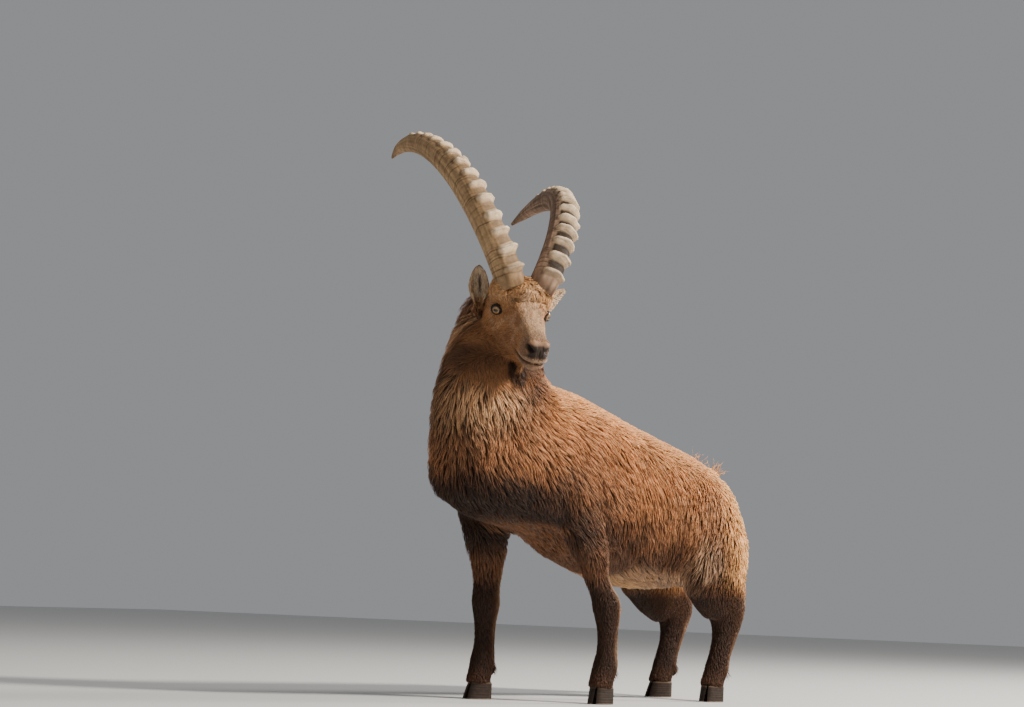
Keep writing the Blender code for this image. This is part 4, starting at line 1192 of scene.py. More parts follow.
def make_coat(skin, fur):
    me = skin.data
    tree = BVHTree.FromObject(skin, bpy.context.evaluated_depsgraph_get())
    budget = 89000

    def density(p, n):
        r = regions(p)
        d, ln_, w, _ = coat_map(p, n, r)
        cover = 7.0 - 3.0 * r["low"] - 1.2 * r["head"] * (1 - 0.5 * ss(0.085, 0.045, r["f"]) * ss(-0.06, -0.035, r["u"]))
        k = cover / (ln_ * w)
        on_ear, s, _ = ear_inside(p)
        k = np.where(on_ear > 0, 5.0 / (0.012 * 0.0022), k)
        f, l, u = r["f"], r["l"], r["u"]
        bare = ss(0.190, 0.198, f) * ss(-0.118, -0.108, u) * ss(0.032, 0.028, np.abs(l)) * r["head"]
        mouth = bump(u + 0.1245, 0.0, 0.004) * ss(0.13, 0.14, f) * r["head"]
        k = k * (1 - np.clip(bare + mouth, 0, 1))
        for side in ("left", "right"):
            c, axis, fwd, up = eye_frame(side)
            v = p - c
            dist = np.linalg.norm(v, axis=1)
            dd = v / np.maximum(dist[:, None], 1e-6)
            t = np.arccos(np.clip(dd @ axis, -1, 1)) / lid_edge(np.arctan2(dd @ up, dd @ fwd))
            k = np.where((dist < EYE_R + 0.0050) & (t < 1.27), 0, k)
        # inside of the ears
        on_in = (on_ear > 0.3) & (ear_normals(p, n) > 0.25)
        k = np.where(on_in, k * 0.25, k)
        k = np.where(p[:, 2] < HOOF_TOP + 0.002, 0, k)
        return k

    root, nrm = sample(me, density, budget)
    n = len(root)
    r = regions(root)
    depth, length, width, clump = coat_map(root, nrm, r)
    direction = lie(root, nrm, r)
    on_ear, ear_s, ear_a = ear_inside(root)
    is_ear = on_ear > 0.05
    if is_ear.any():
        for side in ("left", "right"):
            base, axis, face, across, el = ear_frame(side)
            near = is_ear & (np.linalg.norm(root - (base + axis * el * 0.5), axis=1) < 0.10)
            d = np.tile(axis, (n, 1)) + 0.15 * across * ear_a[:, None]
            d = units(d - nrm * np.sum(d * nrm, 1, keepdims=True))
            direction = np.where(near[:, None], d, direction)
        length = np.where(is_ear, 0.012, length)
        width = np.where(is_ear, 0.0022, width)
        depth = np.where(is_ear, 0.0022, depth)
        clump = np.where(is_ear, 0.1, clump)
    # round the eye the hair is shorter and turns away from the lids
    for side in ("left", "right"):
        c, axis, fwd, up = eye_frame(side)
        v = root - c
        dist = np.linalg.norm(v, axis=1)
        dd = v / np.maximum(dist[:, None], 1e-6)
        tt = np.arccos(np.clip(dd @ axis, -1, 1)) / lid_edge(np.arctan2(dd @ up, dd @ fwd))
        w = ss(2.5, 1.4, tt) * (dist < 0.05)
        out = dd - axis[None] * (dd @ axis)[:, None]
        direction = units(direction + 1.6 * w[:, None] * units(out))
        direction = units(direction - nrm * np.sum(direction * nrm, 1, keepdims=True))
        length = length * (1 - 0.45 * w)
        depth = depth * (1 - 0.45 * w)
    # locks: tufts gather towards the tip of the nearest lock
    def lock_density(p, nn):
        rr = regions(p)
        _, _, w, _ = coat_map(p, nn, rr)
        return 1.0 / (2.9 * w) ** 2
    lock_p, lock_n = sample(me, lock_density)
    m = len(lock_p)
    lr = regions(lock_p)
    ld, ll, lw, _ = coat_map(lock_p, lock_n, lr)
    ldir = units(lie(lock_p, lock_n, lr) + 0.16 * RNG.normal(size=(m, 3)))
    kd = KDTree(m)
    for i, v in enumerate(lock_p):
        kd.insert(v, i)
    kd.balance()
    mine = np.array([kd.find(v)[1] for v in root])
    lock_tip = lock_p + ldir * (ll * 0.97)[:, None]
    lock_tip, lock_tn = on_surface(tree, lock_tip)
    lock_rand = RNG.normal(size=m)
    lock_phase = RNG.random(m) * 2 * pi
    length = length * (0.82 + 0.36 * RNG.random(n))
    direction = units(direction + 0.07 * RNG.normal(size=(n, 3)))
    direction = units(direction - nrm * np.sum(direction * nrm, 1, keepdims=True))
    tip = root + direction * (length * 0.97)[:, None]
    tip, tip_n = on_surface(tree, tip)
    pull = clump * (0.75 + 0.25 * RNG.random(n))
    pull = np.where(np.linalg.norm(lock_tip[mine] - tip, axis=1) > 0.9 * length, 0, pull)
    gathered = lock_tip[mine] + (tip - lock_tip[mine]) * 0.10
    tip = tip * (1 - pull)[:, None] + gathered * pull[:, None]
    # tufts near a lock's middle stand a little higher, its edges lower
    off = np.linalg.norm(root - lock_p[mine], axis=1) / (2.9 * width)
    swell = 0.20 * lattice(root, 0.045, 33) + 0.10 * lock_rand[mine] * clump
    height = depth * np.clip(0.96 - 0.16 * clump * off + swell + 0.10 * RNG.normal(size=n), 0.45, 1.15)
    height = np.where(r["low"] > 0.5, height * 0.95, height)
    wave_amp = np.interp(clump, (0.2, 0.45, 0.72), (0.0, 0.0012, 0.0034)) * (1 - r["head"])
    wave_amp = wave_amp + 0.0017 * ss(0.085, 0.045, r["f"]) * ss(-0.055, -0.030, r["u"]) * r["head"]
    phase = lock_phase[mine] + 0.5 * RNG.normal(size=n)
    col = markings_and_painted_shade(root, nrm, r)
    col = ear_colour(root, nrm, col, inner=False)
    vary = 1 + 0.17 * lock_rand[mine] * (0.4 + clump) + 0.13 * RNG.normal(size=n)
    col = col * np.clip(vary, 0.55, 1.5)[:, None]
    warm = 1 + 0.05 * RNG.normal(size=n)
    col = col * np.stack([warm, np.ones(n), 1 / warm], 1)
    spread = np.clip(0.75 + 0.5 * clump, 0, 1.2)
    wisps(tree, fur)
    # pieces by part of the body
    kind = np.full(n, "trunk", dtype=object)
    hd = r["head"] > 0.5
    low = (r["low"] > 0.5) & ~hd
    nk = (r["neck"] > 0.5) & ~hd & ~low
    kind[hd] = "head"
    kind[low] = "leg"
    kind[nk] = "neck"
    made = 0
    for k, along in (("head", r["f"]), ("neck", root[:, 2]), ("trunk", root[:, 1]), ("leg", root[:, 1] + 0.001 * root[:, 0])):
        ids = np.nonzero(kind == k)[0]
        if not len(ids):
            continue
        parts = int(np.ceil(len(ids) / 11800))
        ids = ids[np.argsort(along[ids], kind="stable")]
        for j, part in enumerate(np.array_split(ids, parts)):
            name = "coat_%s_%d" % (k, j + 1)
            mesh = tuft_mesh(name, root[part], nrm[part], direction[part], length[part], width[part], height[part], tip[part],
                             tip_n[part], wave_amp[part], phase[part], col[part], spread[part], chart(root[part], k))
            mesh.materials.append(fur)
            ob = bpy.data.objects.new(name, mesh)
            bpy.context.scene.collection.objects.link(ob)
            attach(ob, "root")
            made += len(mesh.polygons)
            print(name, len(part), "tufts", len(mesh.polygons), "triangles")
    print("coat triangles", made)


def wisps(tree, fur):
    """The few locks that stand out: croup, tail, rump and the back of the knee."""
    rng = np.random.default_rng(5)
    parts = []
    for at, spread, count, toward, scatter, lo, hi, wide, curl, shade in (
            ((0.080, 0.655, 0.692), 0.012, 16, (0.05, 0.35, 1.0), 0.50, 0.030, 0.052, 0.0022, 0.0070, GOLD),
            ((0.000, 0.858, 0.658), 0.014, 34, (0.20, 0.80, 0.55), 0.38, 0.026, 0.046, 0.0026, 0.0060, GOLD),
            ((0.100, 0.800, 0.600), 0.014, 8, (0.25, 0.90, 0.10), 0.35, 0.020, 0.034, 0.0022, 0.0040, GOLD),
            ((0.172, 0.108, 0.250), 0.010, 16, (0.05, 0.85, -0.55), 0.25, 0.016, 0.026, 0.0028, 0.0015, BROWN)):
        q = np.array(at) + rng.normal(size=(count, 3)) * spread * np.array((1, 1, 0.3))
        root, nn = on_surface(tree, q, 0.08)
        good = np.linalg.norm(nn, axis=1) > 0.5
        root, nn = root[good], units(nn[good])
        m = len(root)
        d = units(unit(toward) + scatter * rng.normal(size=(m, 3)))
        d = units(d + nn * np.clip(0.15 - np.sum(d * nn, 1, keepdims=True), 0, 1))
        length = lo + (hi - lo) * rng.random(m)
        shades = shade * (0.85 + 0.35 * rng.random((m, 1)))
        parts.append((root, nn, d, length, np.full(m, wide), np.full(m, 0.004), root + d * length[:, None], nn,
                      np.full(m, curl), rng.random(m) * 6.28, shades, np.full(m, 0.6), chart(root, "trunk")))
    for foot in FEET:
        y = -0.030 if foot.startswith("front") else -0.040
        for s in (1, -1):
            q = np.array([turned((y + 0.004 * rng.normal(), s * (0.004 + 0.018 * rng.random()), 0.092 + 0.005 * rng.normal()), foot) for _ in range(34)])
            root, nn = on_surface(tree, q, 0.05)
            good = np.linalg.norm(nn, axis=1) > 0.5
            root, nn = root[good], units(nn[good])
            m = len(root)
            d = units(np.array([0.0, 0.10, -1.0]) + 0.30 * nn + 0.12 * rng.normal(size=(m, 3)))
            length = 0.014 + 0.009 * rng.random(m)
            shades = UMBER * (0.85 + 0.5 * rng.random((m, 1)))
            parts.append((root, nn, d, length, np.full(m, 0.0024), np.full(m, 0.0035), root + d * length[:, None], nn,
                          np.full(m, 0.0008), rng.random(m) * 6.28, shades, np.full(m, 0.6), chart(root, "leg")))
    joined = [np.concatenate([part[i] for part in parts]) for i in range(13)]
    mesh = tuft_mesh("coat_wisps", *joined)
    mesh.materials.append(fur)
    ob = bpy.data.objects.new("coat_wisps", mesh)
    bpy.context.scene.collection.objects.link(ob)
    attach(ob, "root")


def ear_colour(p, n, c, inner=True):
    on, s, a = ear_inside(p)
    if not (on > 0).any():
        return c
    facing = ear_normals(p, n)
    rim = ss(0.55, 0.95, np.abs(a))
    inside = ss(0.0, 0.5, facing) * (on > 0)
    ear_c = mix(np.tile(srgb(150, 112, 80), (len(p), 1)), srgb(208, 186, 158), 0.75 * inside)
    # darker down the middle of the cup: painted shade
    ear_c = mix(ear_c, srgb(52, 40, 36), inside * bump(a, 0.0, 0.30) * bump(s, 0.42, 0.45))
    ear_c = mix(ear_c, srgb(196, 160, 120), 0.5 * rim)
    ear_c = mix(ear_c, srgb(70, 50, 38), 0.6 * ss(0.88, 1.0, s))
    return c * (1 - on[:, None]) + ear_c * on[:, None]


# ---------------------------------------------------------------- horns
def horn_line(side, steps):
    sg, ph0, k0, k1, k2, de0, de1, de2, length = HORNS[side]
    p = np.array([0.0, sg * HORN_APART, 0.0])
    out = []
    last = 0.0
    for u in steps:
        q = 0.5 * (u + last)
        ph = ph0 + length * (k0 * q + 0.5 * k1 * q * q + k2 * q ** 3 / 3)
        de = de0 + de1 * q + de2 * q * q
        t = np.array([-sin(ph) * cos(de), sg * sin(de), cos(ph) * cos(de)])
        p = p + t * length * (u - last)
        ph = ph0 + length * (k0 * u + 0.5 * k1 * u * u + k2 * u ** 3 / 3)
        de = de0 + de1 * u + de2 * u * u
        t = np.array([-sin(ph) * cos(de), sg * sin(de), cos(ph) * cos(de)])
        n = np.array([cos(ph), 0, sin(ph)])
        out.append((np.array(HEAD_AT) + p @ AX, t @ AX, n @ AX, np.cross(t, n) @ AX))
        last = u
    return out


def horn_section(u):
    depth = np.interp(u, (-0.05, 0.0, 0.3, 0.5, 0.65, 0.8, 0.92, 1.0), (0.028, 0.0450, 0.0425, 0.0370, 0.0305, 0.0230, 0.0142, 0.0045))
    width = np.interp(u, (-0.05, 0.0, 0.3, 0.6, 0.8, 0.92, 1.0), (0.022, 0.0365, 0.0350, 0.0290, 0.0200, 0.0120, 0.0035))
    return depth, width


def make_horn(side):
    """Ringed horn: broad knobbed front, smooth sides with growth lines."""
    sg = HORNS[side][0]
    first = -0.030
    m, around = 620, 52
    us = np.concatenate([[first], np.linspace(0.0, 1.0, m)])
    line = [horn_line(side, [first])[0]] + horn_line(side, list(us[1:]))
    rng = np.random.default_rng(7 if side == "left" else 8)
    edges = KNOBBED * (np.arange(HORN_KNOBS + 1) / HORN_KNOBS)
    edges[1:-1] += (rng.random(HORN_KNOBS - 1) - 0.5) * 0.30 * KNOBBED / HORN_KNOBS
    size = 1.0 - 0.45 * np.arange(HORN_KNOBS) / HORN_KNOBS
    size = size * (0.80 + 0.34 * rng.random(HORN_KNOBS))
    wobble = lattice(np.stack([us * 40, us * 0, us * 0 + sg], 1), 1.0, 31)
    lines_u = np.cumsum(0.0060 + 0.0280 * rng.random(200) ** 1.6)
    lines_u = lines_u[lines_u < 1]
    deep = 0.15 + 0.85 * rng.random(len(lines_u)) ** 1.5
    verts, cols = [], []
    ang = 2 * pi * np.arange(around) / around
    c, s = np.cos(ang), np.sin(ang)
    ck, sk = np.cos(ang - KNOB_TURN), np.sin(ang - KNOB_TURN)      # the knobbed strip is turned to the animal's left
    cc = np.sign(c) * np.abs(c) ** 0.85
    for j, u in enumerate(us):
        p, t, nn, b = line[j]
        d, w = horn_section(max(u, 0.0))
        d, w = d * 0.985 * (1 + 2.5 * min(u, 0.0)), w * 0.985 * (1 + 2.5 * min(u, 0.0))
        i = int(np.clip(np.searchsorted(edges, u, side="right") - 1, 0, HORN_KNOBS - 1))
        on = (u >= 0) & (u < KNOBBED)
        x = (u - edges[i]) / (edges[i + 1] - edges[i]) if on else 0.0
        # knobs slant a little and are narrow beads with long shallow dips between
        xs = x + 0.10 * (1 - np.maximum(ck, 0)) - 0.08 * sk
        shape = np.interp(xs, (0.0, 0.22, 0.35, 0.45, 0.55, 0.64, 0.78, 1.0), (0.0, 0.10, 0.48, 1.0, 0.94, 0.42, 0.10, 0.0)) if on else np.zeros(around)
        # each knob is lopsided and a little uneven across
        uneven = 1 + 0.30 * lattice(np.stack([4 * c + 9 * i, 4 * s, np.full(around, 30.0 * u)], 1), 1.0, 36)
        knob = 0.0132 * size[i] * shape * uneven * (1 if on else 0)
        front = ss(0.42, 0.86, ck)
        edge = ck + 0.11 * (shape - 0.45) + 0.05 * wobble[j] + 0.03 * np.sin(9 * ang + 40 * u)
        strip = ss(*((0.52, 0.80) if side == "right" else (0.50, 0.66)), edge) * float(ss(KNOBBED + 0.03, KNOBBED - 0.03, u)) * float(ss(-0.01, 0.05, u))
        ledge = 0.0014 * bump(ck, 0.72, 0.14) * (1.0 if on else 0.0)
        # growth cracks run round the flanks, each a little askew
        away = np.abs(lines_u[:, None] - (u + 0.0030 * np.sin(2 * ang + 1.0) + 0.0012 * np.sin(5 * ang + 30 * u))[None, :])
        which = away.argmin(0)
        crack = np.exp(-(away.min(0) / 0.0017) ** 2) * deep[which] * (u > 0)
        groove = -0.0014 * crack * (1 - 0.5 * front)
        streak = lattice(np.stack([8 * c, 8 * s, np.full(around, 7.0 * u)], 1), 1.0, 35)
        out = knob * front + ledge + groove
        depth = d * cc + out * c
        width = w * s * (1.0 + 0.16 * c) + out * s * 0.9 + 0.0003 * wobble[j] * s
        verts.append(p + nn[None, :] * depth[:, None] + b[None, :] * width[:, None])
        # the dips between knobs: painted shadow under each knob
        gap = strip * (np.interp(xs, (0.0, 0.08, 0.20, 0.32, 0.64, 0.74, 1.0), (1.0, 0.75, 0.30, 0.0, 0.0, 0.85, 1.0)) if side == "right"
                       else np.interp(xs, (0.0, 0.16, 0.28, 0.38, 0.60, 0.68, 0.86, 1.0), (0.75, 0.45, 0.20, 0.0, 0.0, 0.90, 1.0, 0.85))) * on
        flank = srgb(184, 150, 110) if side == "right" else srgb(160, 132, 110)
        side_c = mix(np.tile(flank, (around, 1)), flank * 0.60, np.full(around, np.clip(0.5 + 0.5 * wobble[j], 0, 1)) * 0.6)
        side_c = side_c * np.clip(1 + (0.70 if side == "left" else 0.40) * streak, 0.4, 1.7)[:, None]
        side_c = mix(side_c, srgb(60, 42, 28), 0.85 * crack)
        # a dark line along the strip's edge: painted shadow under the ledge
        side_c = mix(side_c, srgb(70, 50, 34), 0.55 * bump(edge, 0.50, 0.13) * on)
        col = mix(side_c, srgb(198, 170, 136), 0.75 * strip)
        # knob crests paler: partly worn horn, partly painted highlight
        col = mix(col, srgb(222, 200, 170), np.clip(shape * strip, 0, 1) * 0.80)
        col = mix(col, srgb(96, 72, 50), 0.6 * crack * strip)
        # knob shadows painted much darker on the left horn, where the light grazes, than on the right
        dark = srgb(30, 19, 13) if side == "left" else srgb(92, 68, 46)
        col = mix(col, dark, np.clip(gap * 1.5, 0, 1) * (0.97 if side == "left" else 0.70))
        tipd = ss(0.84, 0.99, np.full(around, u))
        col = mix(col, srgb(124, 98, 74), 0.6 * tipd)
        col = mix(col, srgb(96, 74, 56), 0.5 * ss(0.05, 0.0, np.full(around, u)))
        cols.append(col)
    verts = np.array(verts)
    rings = len(us)
    tip = verts[-1].mean(0) + line[-1][1] * 0.0030
    all_v = np.concatenate([verts.reshape(-1, 3), [verts[0].mean(0)], [tip]])
    all_c = np.concatenate([np.array(cols).reshape(-1, 3), [cols[0][0]], [srgb(96, 80, 66)]])
    k = np.arange(around)
    k2 = (k + 1) % around
    quads = [np.stack([r * around + k, (r + 1) * around + k, (r + 1) * around + k2, r * around + k2], 1) for r in range(rings - 1)]
    faces = [tuple(q) for q in np.concatenate(quads)]
    base, end = rings * around, rings * around + 1
    faces += [(base, int(a), int(b_)) for a, b_ in zip(k, k2)]
    faces += [(end, int((rings - 1) * around + b_), int((rings - 1) * around + a)) for a, b_ in zip(k, k2)]
    mesh = bpy.data.meshes.new("horn_" + side)
    mesh.from_pydata([tuple(v) for v in shift(all_v)], [], faces)
    bm = bmesh.new()
    bm.from_mesh(mesh)
    bmesh.ops.recalc_face_normals(bm, faces=bm.faces)
    bm.to_mesh(mesh)
    bm.free()
    mesh.shade_smooth()
    tint(mesh, all_c)
    return mesh


def horn_material():
    mat, nd, ln, b = principled("horn_keratin", 0.60, 0.14)
    at = nd.new("ShaderNodeAttribute")
    at.attribute_name = "tint"
    co = nd.new("ShaderNodeTexCoord")
    n1 = nd.new("ShaderNodeTexNoise")
    n1.inputs["Scale"].default_value = 60
    n1.inputs["Detail"].default_value = 8
    n1.inputs["Roughness"].default_value = 0.65
    ln.new(co.outputs["Object"], n1.inputs["Vector"])
    n2 = nd.new("ShaderNodeTexNoise")
    n2.inputs["Scale"].default_value = 420
    n2.inputs["Detail"].default_value = 4
    ln.new(co.outputs["Object"], n2.inputs["Vector"])
    mr = nd.new("ShaderNodeMapRange")
    mr.inputs["From Min"].default_value = 0.30
    mr.inputs["From Max"].default_value = 0.72
    mr.inputs["To Min"].default_value = 0.62
    mr.inputs["To Max"].default_value = 1.18
    ln.new(n1.outputs["Fac"], mr.inputs["Value"])
    mul = nd.new("ShaderNodeMix")
    mul.data_type = "RGBA"
    mul.blend_type = "MULTIPLY"
    mul.inputs["Factor"].default_value = 1.0
    ln.new(at.outputs["Color"], mul.inputs["A"])
    ln.new(mr.outputs["Result"], mul.inputs["B"])
    ln.new(mul.outputs["Result"], b.inputs["Base Color"])
    rr = nd.new("ShaderNodeMapRange")
    rr.inputs["To Min"].default_value = 0.52
    rr.inputs["To Max"].default_value = 0.82
    ln.new(n2.outputs["Fac"], rr.inputs["Value"])
    ln.new(rr.outputs["Result"], b.inputs["Roughness"])
    bp = nd.new("ShaderNodeBump")
    bp.inputs["Strength"].default_value = 0.55
    bp.inputs["Distance"].default_value = 0.0009
    add = nd.new("ShaderNodeMath")
    add.operation = "ADD"
    ln.new(n1.outputs["Fac"], add.inputs[0])
    ln.new(n2.outputs["Fac"], add.inputs[1])
    ln.new(add.outputs["Value"], bp.inputs["Height"])
    ln.new(bp.outputs["Normal"], b.inputs["Normal"])
    return mat


# ---------------------------------------------------------------- eyes
def make_eye(side, mat):
    """Eyeball with a raised cornea, in its own frame: +Z looks out, +X along the slit."""
    c, axis, fwd, up = eye_frame(side)
    bm = bmesh.new()
    bmesh.ops.create_uvsphere(bm, u_segments=64, v_segments=48, radius=EYE_R)
    for v in bm.verts:
        a = np.arctan2(np.hypot(v.co.x, v.co.y), v.co.z)
        v.co *= 1 + 0.035 * float(ss(0.85, 0.35, a)) - 0.012
    mesh = bpy.data.meshes.new("eye_ball_" + side)
    bm.to_mesh(mesh)
    bm.free()
    mesh.shade_smooth()
    mesh.materials.append(mat)
    ob = bpy.data.objects.new("eye_ball_" + side, mesh)
    bpy.context.scene.collection.objects.link(ob)
    s = 1 if side == "left" else -1
    axis = unit(np.array((0.76, s * 0.65, 0.00)) @ AX)       # the gaze
    level = unit(np.cross((0, 0, 1.0), axis))
    if np.dot(level, fwd) < 0:
        level = -level
    # the slit stays near level with the ground
    xdir = unit(0.6 * level + 0.4 * fwd)
    xdir = unit(xdir - axis * np.dot(xdir, axis))
    ydir = np.cross(axis, xdir)
    at = c - CENTRE
    ob.matrix_world = Matrix(((xdir[0], ydir[0], axis[0], at[0]), (xdir[1], ydir[1], axis[1], at[1]),
                              (xdir[2], ydir[2], axis[2], at[2]), (0, 0, 0, 1)))
    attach(ob, "root")
    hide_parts("eye_" + side)
    return ob


def eye_material():
    mat, nd, ln, b = principled("eye_wet", 0.10, 0.35, Coat_Weight=0.35, Coat_Roughness=0.03)
    co = nd.new("ShaderNodeTexCoord")
    sep = nd.new("ShaderNodeSeparateXYZ")
    ln.new(co.outputs["Object"], sep.inputs["Vector"])

    def math(op, a, bb=None, clamp=False):
        m = nd.new("ShaderNodeMath")
        m.operation = op
        m.use_clamp = clamp
        for i, v in enumerate((a, bb)):
            if v is None:
                continue
            if isinstance(v, (int, float)):
                m.inputs[i].default_value = v
            else:
                ln.new(v, m.inputs[i])
        return m.outputs["Value"]
    x2 = math("POWER", math("ABSOLUTE", sep.outputs["X"]), 2.0)
    y2 = math("POWER", math("ABSOLUTE", sep.outputs["Y"]), 2.0)
    r = math("SQRT", math("ADD", x2, y2))
    front = math("GREATER_THAN", sep.outputs["Z"], 0.0)
    rr = math("DIVIDE", r, 0.0118)
    ir = ramp(nd, [(0.0, (0.20, 0.10, 0.03)), (0.35, (0.27, 0.145, 0.045)), (0.66, (0.32, 0.185, 0.065)), (0.80, (0.17, 0.09, 0.04)), (0.88, (0.018, 0.011, 0.008)), (1.0, (0.020, 0.012, 0.009))])
    ln.new(rr, ir.inputs["Fac"])
    # fibres from the pupil outward
    ang = nd.new("ShaderNodeMath")
    ang.operation = "ARCTAN2"
    ln.new(sep.outputs["Y"], ang.inputs[0])
    ln.new(sep.outputs["X"], ang.inputs[1])
    comb = nd.new("ShaderNodeCombineXYZ")
    ln.new(math("MULTIPLY", ang.outputs["Value"], 14.0), comb.inputs["X"])
    ln.new(math("MULTIPLY", r, 320.0), comb.inputs["Y"])
    ns = nd.new("ShaderNodeTexNoise")
    ns.inputs["Scale"].default_value = 1.4
    ns.inputs["Detail"].default_value = 3
    ln.new(comb.outputs["Vector"], ns.inputs["Vector"])
    mr = nd.new("ShaderNodeMapRange")
    mr.inputs["From Min"].default_value = 0.3
    mr.inputs["From Max"].default_value = 0.7
    mr.inputs["To Min"].default_value = 0.72
    mr.inputs["To Max"].default_value = 1.25
    ln.new(ns.outputs["Fac"], mr.inputs["Value"])
    mul = nd.new("ShaderNodeMix")
    mul.data_type = "RGBA"
    mul.blend_type = "MULTIPLY"
    mul.inputs["Factor"].default_value = 1.0
    ln.new(ir.outputs["Color"], mul.inputs["A"])
    ln.new(mr.outputs["Result"], mul.inputs["B"])
    # pupil: a level bar with round ends
    px = math("POWER", math("DIVIDE", math("ABSOLUTE", sep.outputs["X"]), 0.0066), 3.0)
    py = math("POWER", math("DIVIDE", math("ABSOLUTE", sep.outputs["Y"]), 0.0036), 2.0)
    pup = math("LESS_THAN", math("ADD", px, py), 1.0)
    pup = math("MULTIPLY", pup, front)
    m2 = nd.new("ShaderNodeMix")
    m2.data_type = "RGBA"
    ln.new(pup, m2.inputs["Factor"])
    ln.new(mul.outputs["Result"], m2.inputs["A"])
    m2.inputs["B"].default_value = (0.006, 0.006, 0.008, 1)
    m3 = nd.new("ShaderNodeMix")
    m3.data_type = "RGBA"
    ln.new(front, m3.inputs["Factor"])
    m3.inputs["A"].default_value = (0.035, 0.022, 0.018, 1)
    ln.new(m2.outputs["Result"], m3.inputs["B"])
    ln.new(m3.outputs["Result"], b.inputs["Base Color"])
    return mat


# ---------------------------------------------------------------- feet
def turned(p, foot):
    x, y, yaw = FEET[foot]
    a = radians(yaw)
    return np.array([x + sin(a) * p[0] + cos(a) * p[1], y - cos(a) * p[0] + sin(a) * p[1], p[2]])


def make_claw(foot, s, name, mat, node):
    """Half a cloven hoof: flat sole, sloping toe with growth rings, soft heel bulb."""
    rings, cols = [], []
    levels = np.concatenate([[0.0, 0.02], np.linspace(0.05, 0.92, 26), [0.96, 1.0]])
    for h in levels:
        toe = 0.0468 - 0.014 * h - 0.005 * h * h
        heel = -0.0348 + 0.001 * h
        wide = 0.0298 - 0.0010 * h
        ridge = 0.00035 * sin(h * 46 + 0.8 * sin(9 * h)) * (0.1 < h < 0.9)
        shrink = -0.0010 if h == 0.0 else (-0.0014 if h >= 0.96 else 0.0)
        ring, col = [], []
        for i in range(40):
            t = 2 * pi * i / 40
            f = 0.5 * (toe + heel) + (0.5 * (toe - heel) + shrink + ridge) * cos(t)
            body = abs(sin(t)) ** 0.9 * (1.0 - 0.30 * cos(t))
            near = 0.0024 + 0.0035 * max(0.0, cos(t)) * (1 - h)
            lt = near + ((wide + shrink + ridge) * body if sin(t) > 0 else 0.0020 * body)
            ring.append(turned((f, s * lt, HOOF_TOP * h * (1.0 if h < 1 else 0.995)), foot))
            dark = srgb(50, 40, 34) if cos(t) > -0.4 else srgb(62, 50, 42)
            lighter = 0.5 + 0.5 * sin(h * 31 + 2 * sin(t))
            c = dark * (0.80 + 0.3 * lighter)
            if h > 0.90:
                c = srgb(92, 76, 62)
            if h < 0.06:
                c = srgb(104, 92, 80)
            col.append(c)
        rings.append(ring)
        cols += col
    bm = loft(rings)
    bmesh.ops.triangulate(bm, faces=[fc for fc in bm.faces if len(fc.verts) > 4])
    mesh = bpy.data.meshes.new(name)
    bm.to_mesh(mesh)
    bm.free()
    set_coords(mesh, shift(coords(mesh)))
    mesh.shade_smooth()
    mesh.set_sharp_from_angle(angle=radians(55))
    tint(mesh, np.array(cols))
    mesh.materials.append(mat)
    ob = bpy.data.objects.new(name, mesh)
    bpy.context.scene.collection.objects.link(ob)
    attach(ob, "root")
    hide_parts(node)


def make_dewclaw(foot, s, name, mat, node):
    fore = foot.startswith("front")
    y = -0.0385 if fore else -0.0500
    c = turned((y + 0.0050, s * 0.0150, 0.0745), foot)
    bm = bmesh.new()
    bmesh.ops.create_uvsphere(bm, u_segments=24, v_segments=16, radius=1.0)
    for v in bm.verts:
        q = np.array(v.co)
        down = 0.5 - 0.5 * q[2]
        q[:2] *= 1 - 0.50 * down * down
        q = q * np.array((0.0125, 0.0092, 0.0128)) * (1 + 0.012 * sin(q[2] * 18))
        q[0] -= 0.0030 * down
        v.co = Vector(c + q - CENTRE)
    mesh = bpy.data.meshes.new(name)
    bm.to_mesh(mesh)
    bm.free()
    mesh.shade_smooth()
    tint(mesh, np.tile(srgb(52, 43, 38), (len(mesh.vertices), 1)))
    mesh.materials.append(mat)
    ob = bpy.data.objects.new(name, mesh)
    bpy.context.scene.collection.objects.link(ob)
    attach(ob, "root")
    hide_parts(node)


# ---------------------------------------------------------------- build
make_camera()
make_stage()

FUR = fur_material("coat_hair", strands=True)
SKIN = fur_material("short_hair_skin", rough=0.6, strength=0.6, scale=1300.0)

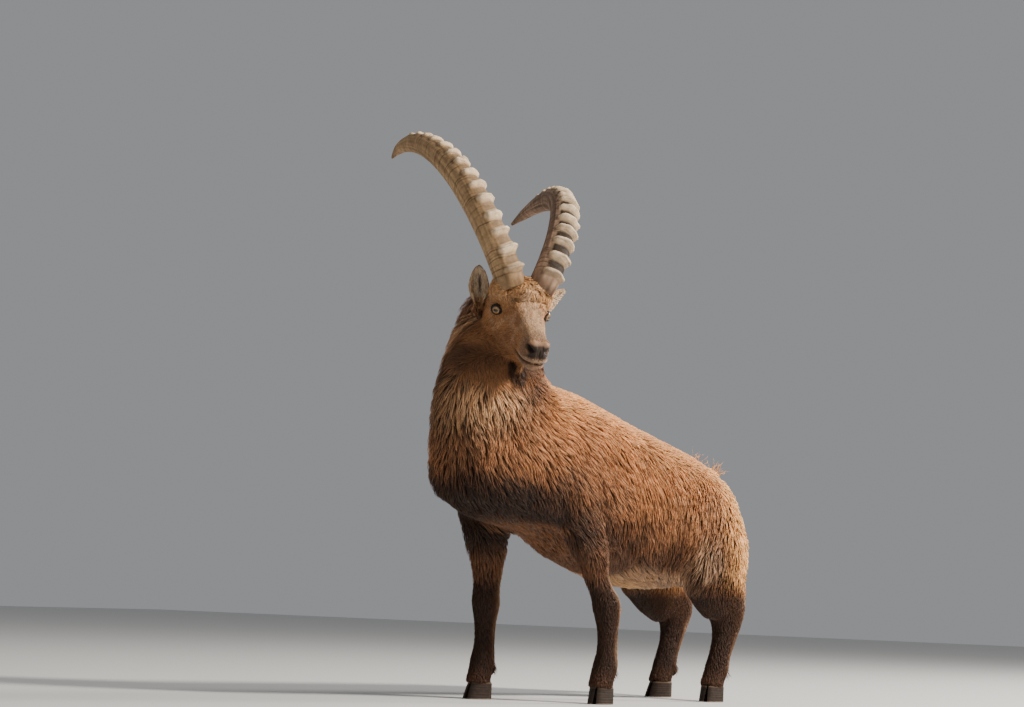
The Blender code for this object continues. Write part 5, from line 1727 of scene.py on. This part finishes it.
skin = make_skin()
refine(skin, lambda p: (lambda h: ((h[:, 0] > 0.115) & (h[:, 0] < 0.24) & (h[:, 2] > -0.17) & (h[:, 2] < -0.05) & (np.abs(h[:, 1]) < 0.06))
       | ((np.abs(h[:, 0] - EYE_AT[0]) < 0.036) & (np.abs(h[:, 2] - EYE_AT[2]) < 0.034) & (np.abs(h[:, 1]) > 0.042) & (np.abs(h[:, 1]) < 0.10)))(to_head(p)))
refine(skin, lambda p: np.minimum(*[np.linalg.norm(p - eye_frame(s)[0], axis=1) for s in ("left", "right")]) < 0.030)
sculpt(skin)
print("skin after refining", len(skin.data.polygons))

make_coat(skin, FUR)

me = skin.data
co, nr = coords(me), normals(me)
base = markings_and_painted_shade(co, nr)
base = ear_colour(co, nr, base) * 0.80
hh = to_head(co)
for side in ("left", "right"):
    c, axis, fwd, up = eye_frame(side)
    v = co - c
    dist = np.linalg.norm(v, axis=1)
    dd = v / np.maximum(dist[:, None], 1e-6)
    t = np.arccos(np.clip(dd @ axis, -1, 1)) / lid_edge(np.arctan2(dd @ up, dd @ fwd))
    lid = ss(1.29, 1.17, t) * ss(EYE_R + 0.0075, EYE_R + 0.0045, dist)
    base = base * (1 - lid[:, None]) + srgb(30, 20, 15) * lid[:, None]
set_coords(me, shift(co))
tint(me, np.clip(base, 0.001, 1))
me.materials.clear()
me.materials.append(SKIN)
me.shade_smooth()
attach(skin, "root")
FLESH = ["head", "neck", "trunk", "tail"] + [a + "_" + b for a in ("forearm", "forefoot", "shank", "hindfoot", "ear") for b in ("left", "right")]
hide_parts(*FLESH)

KERATIN = horn_material()
for side in ("left", "right"):
    mesh = make_horn(side)
    mesh.materials.append(KERATIN)
    ob = bpy.data.objects.new("ringed_horn_" + side, mesh)
    bpy.context.scene.collection.objects.link(ob)
    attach(ob, "root")
    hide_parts("horn_" + side)
EYE = eye_material()
for side in ("left", "right"):
    make_eye(side, EYE)
HOOF = horn_material()
HOOF.name = "hoof_keratin"
for foot in FEET:
    end, side = foot.split("_")
    for s in (1, -1):
        where = "outer" if (s > 0) == (side == "left") else "inner"
        make_claw(foot, s, "hoof_%s_%s" % (foot, where), HOOF, "claw_%s_%s" % (foot, where))
        make_dewclaw(foot, s, "dew_%s_%s" % (foot, where), HOOF, "dewclaw_%s_%s" % (foot, where))

bpy.context.view_layer.update()
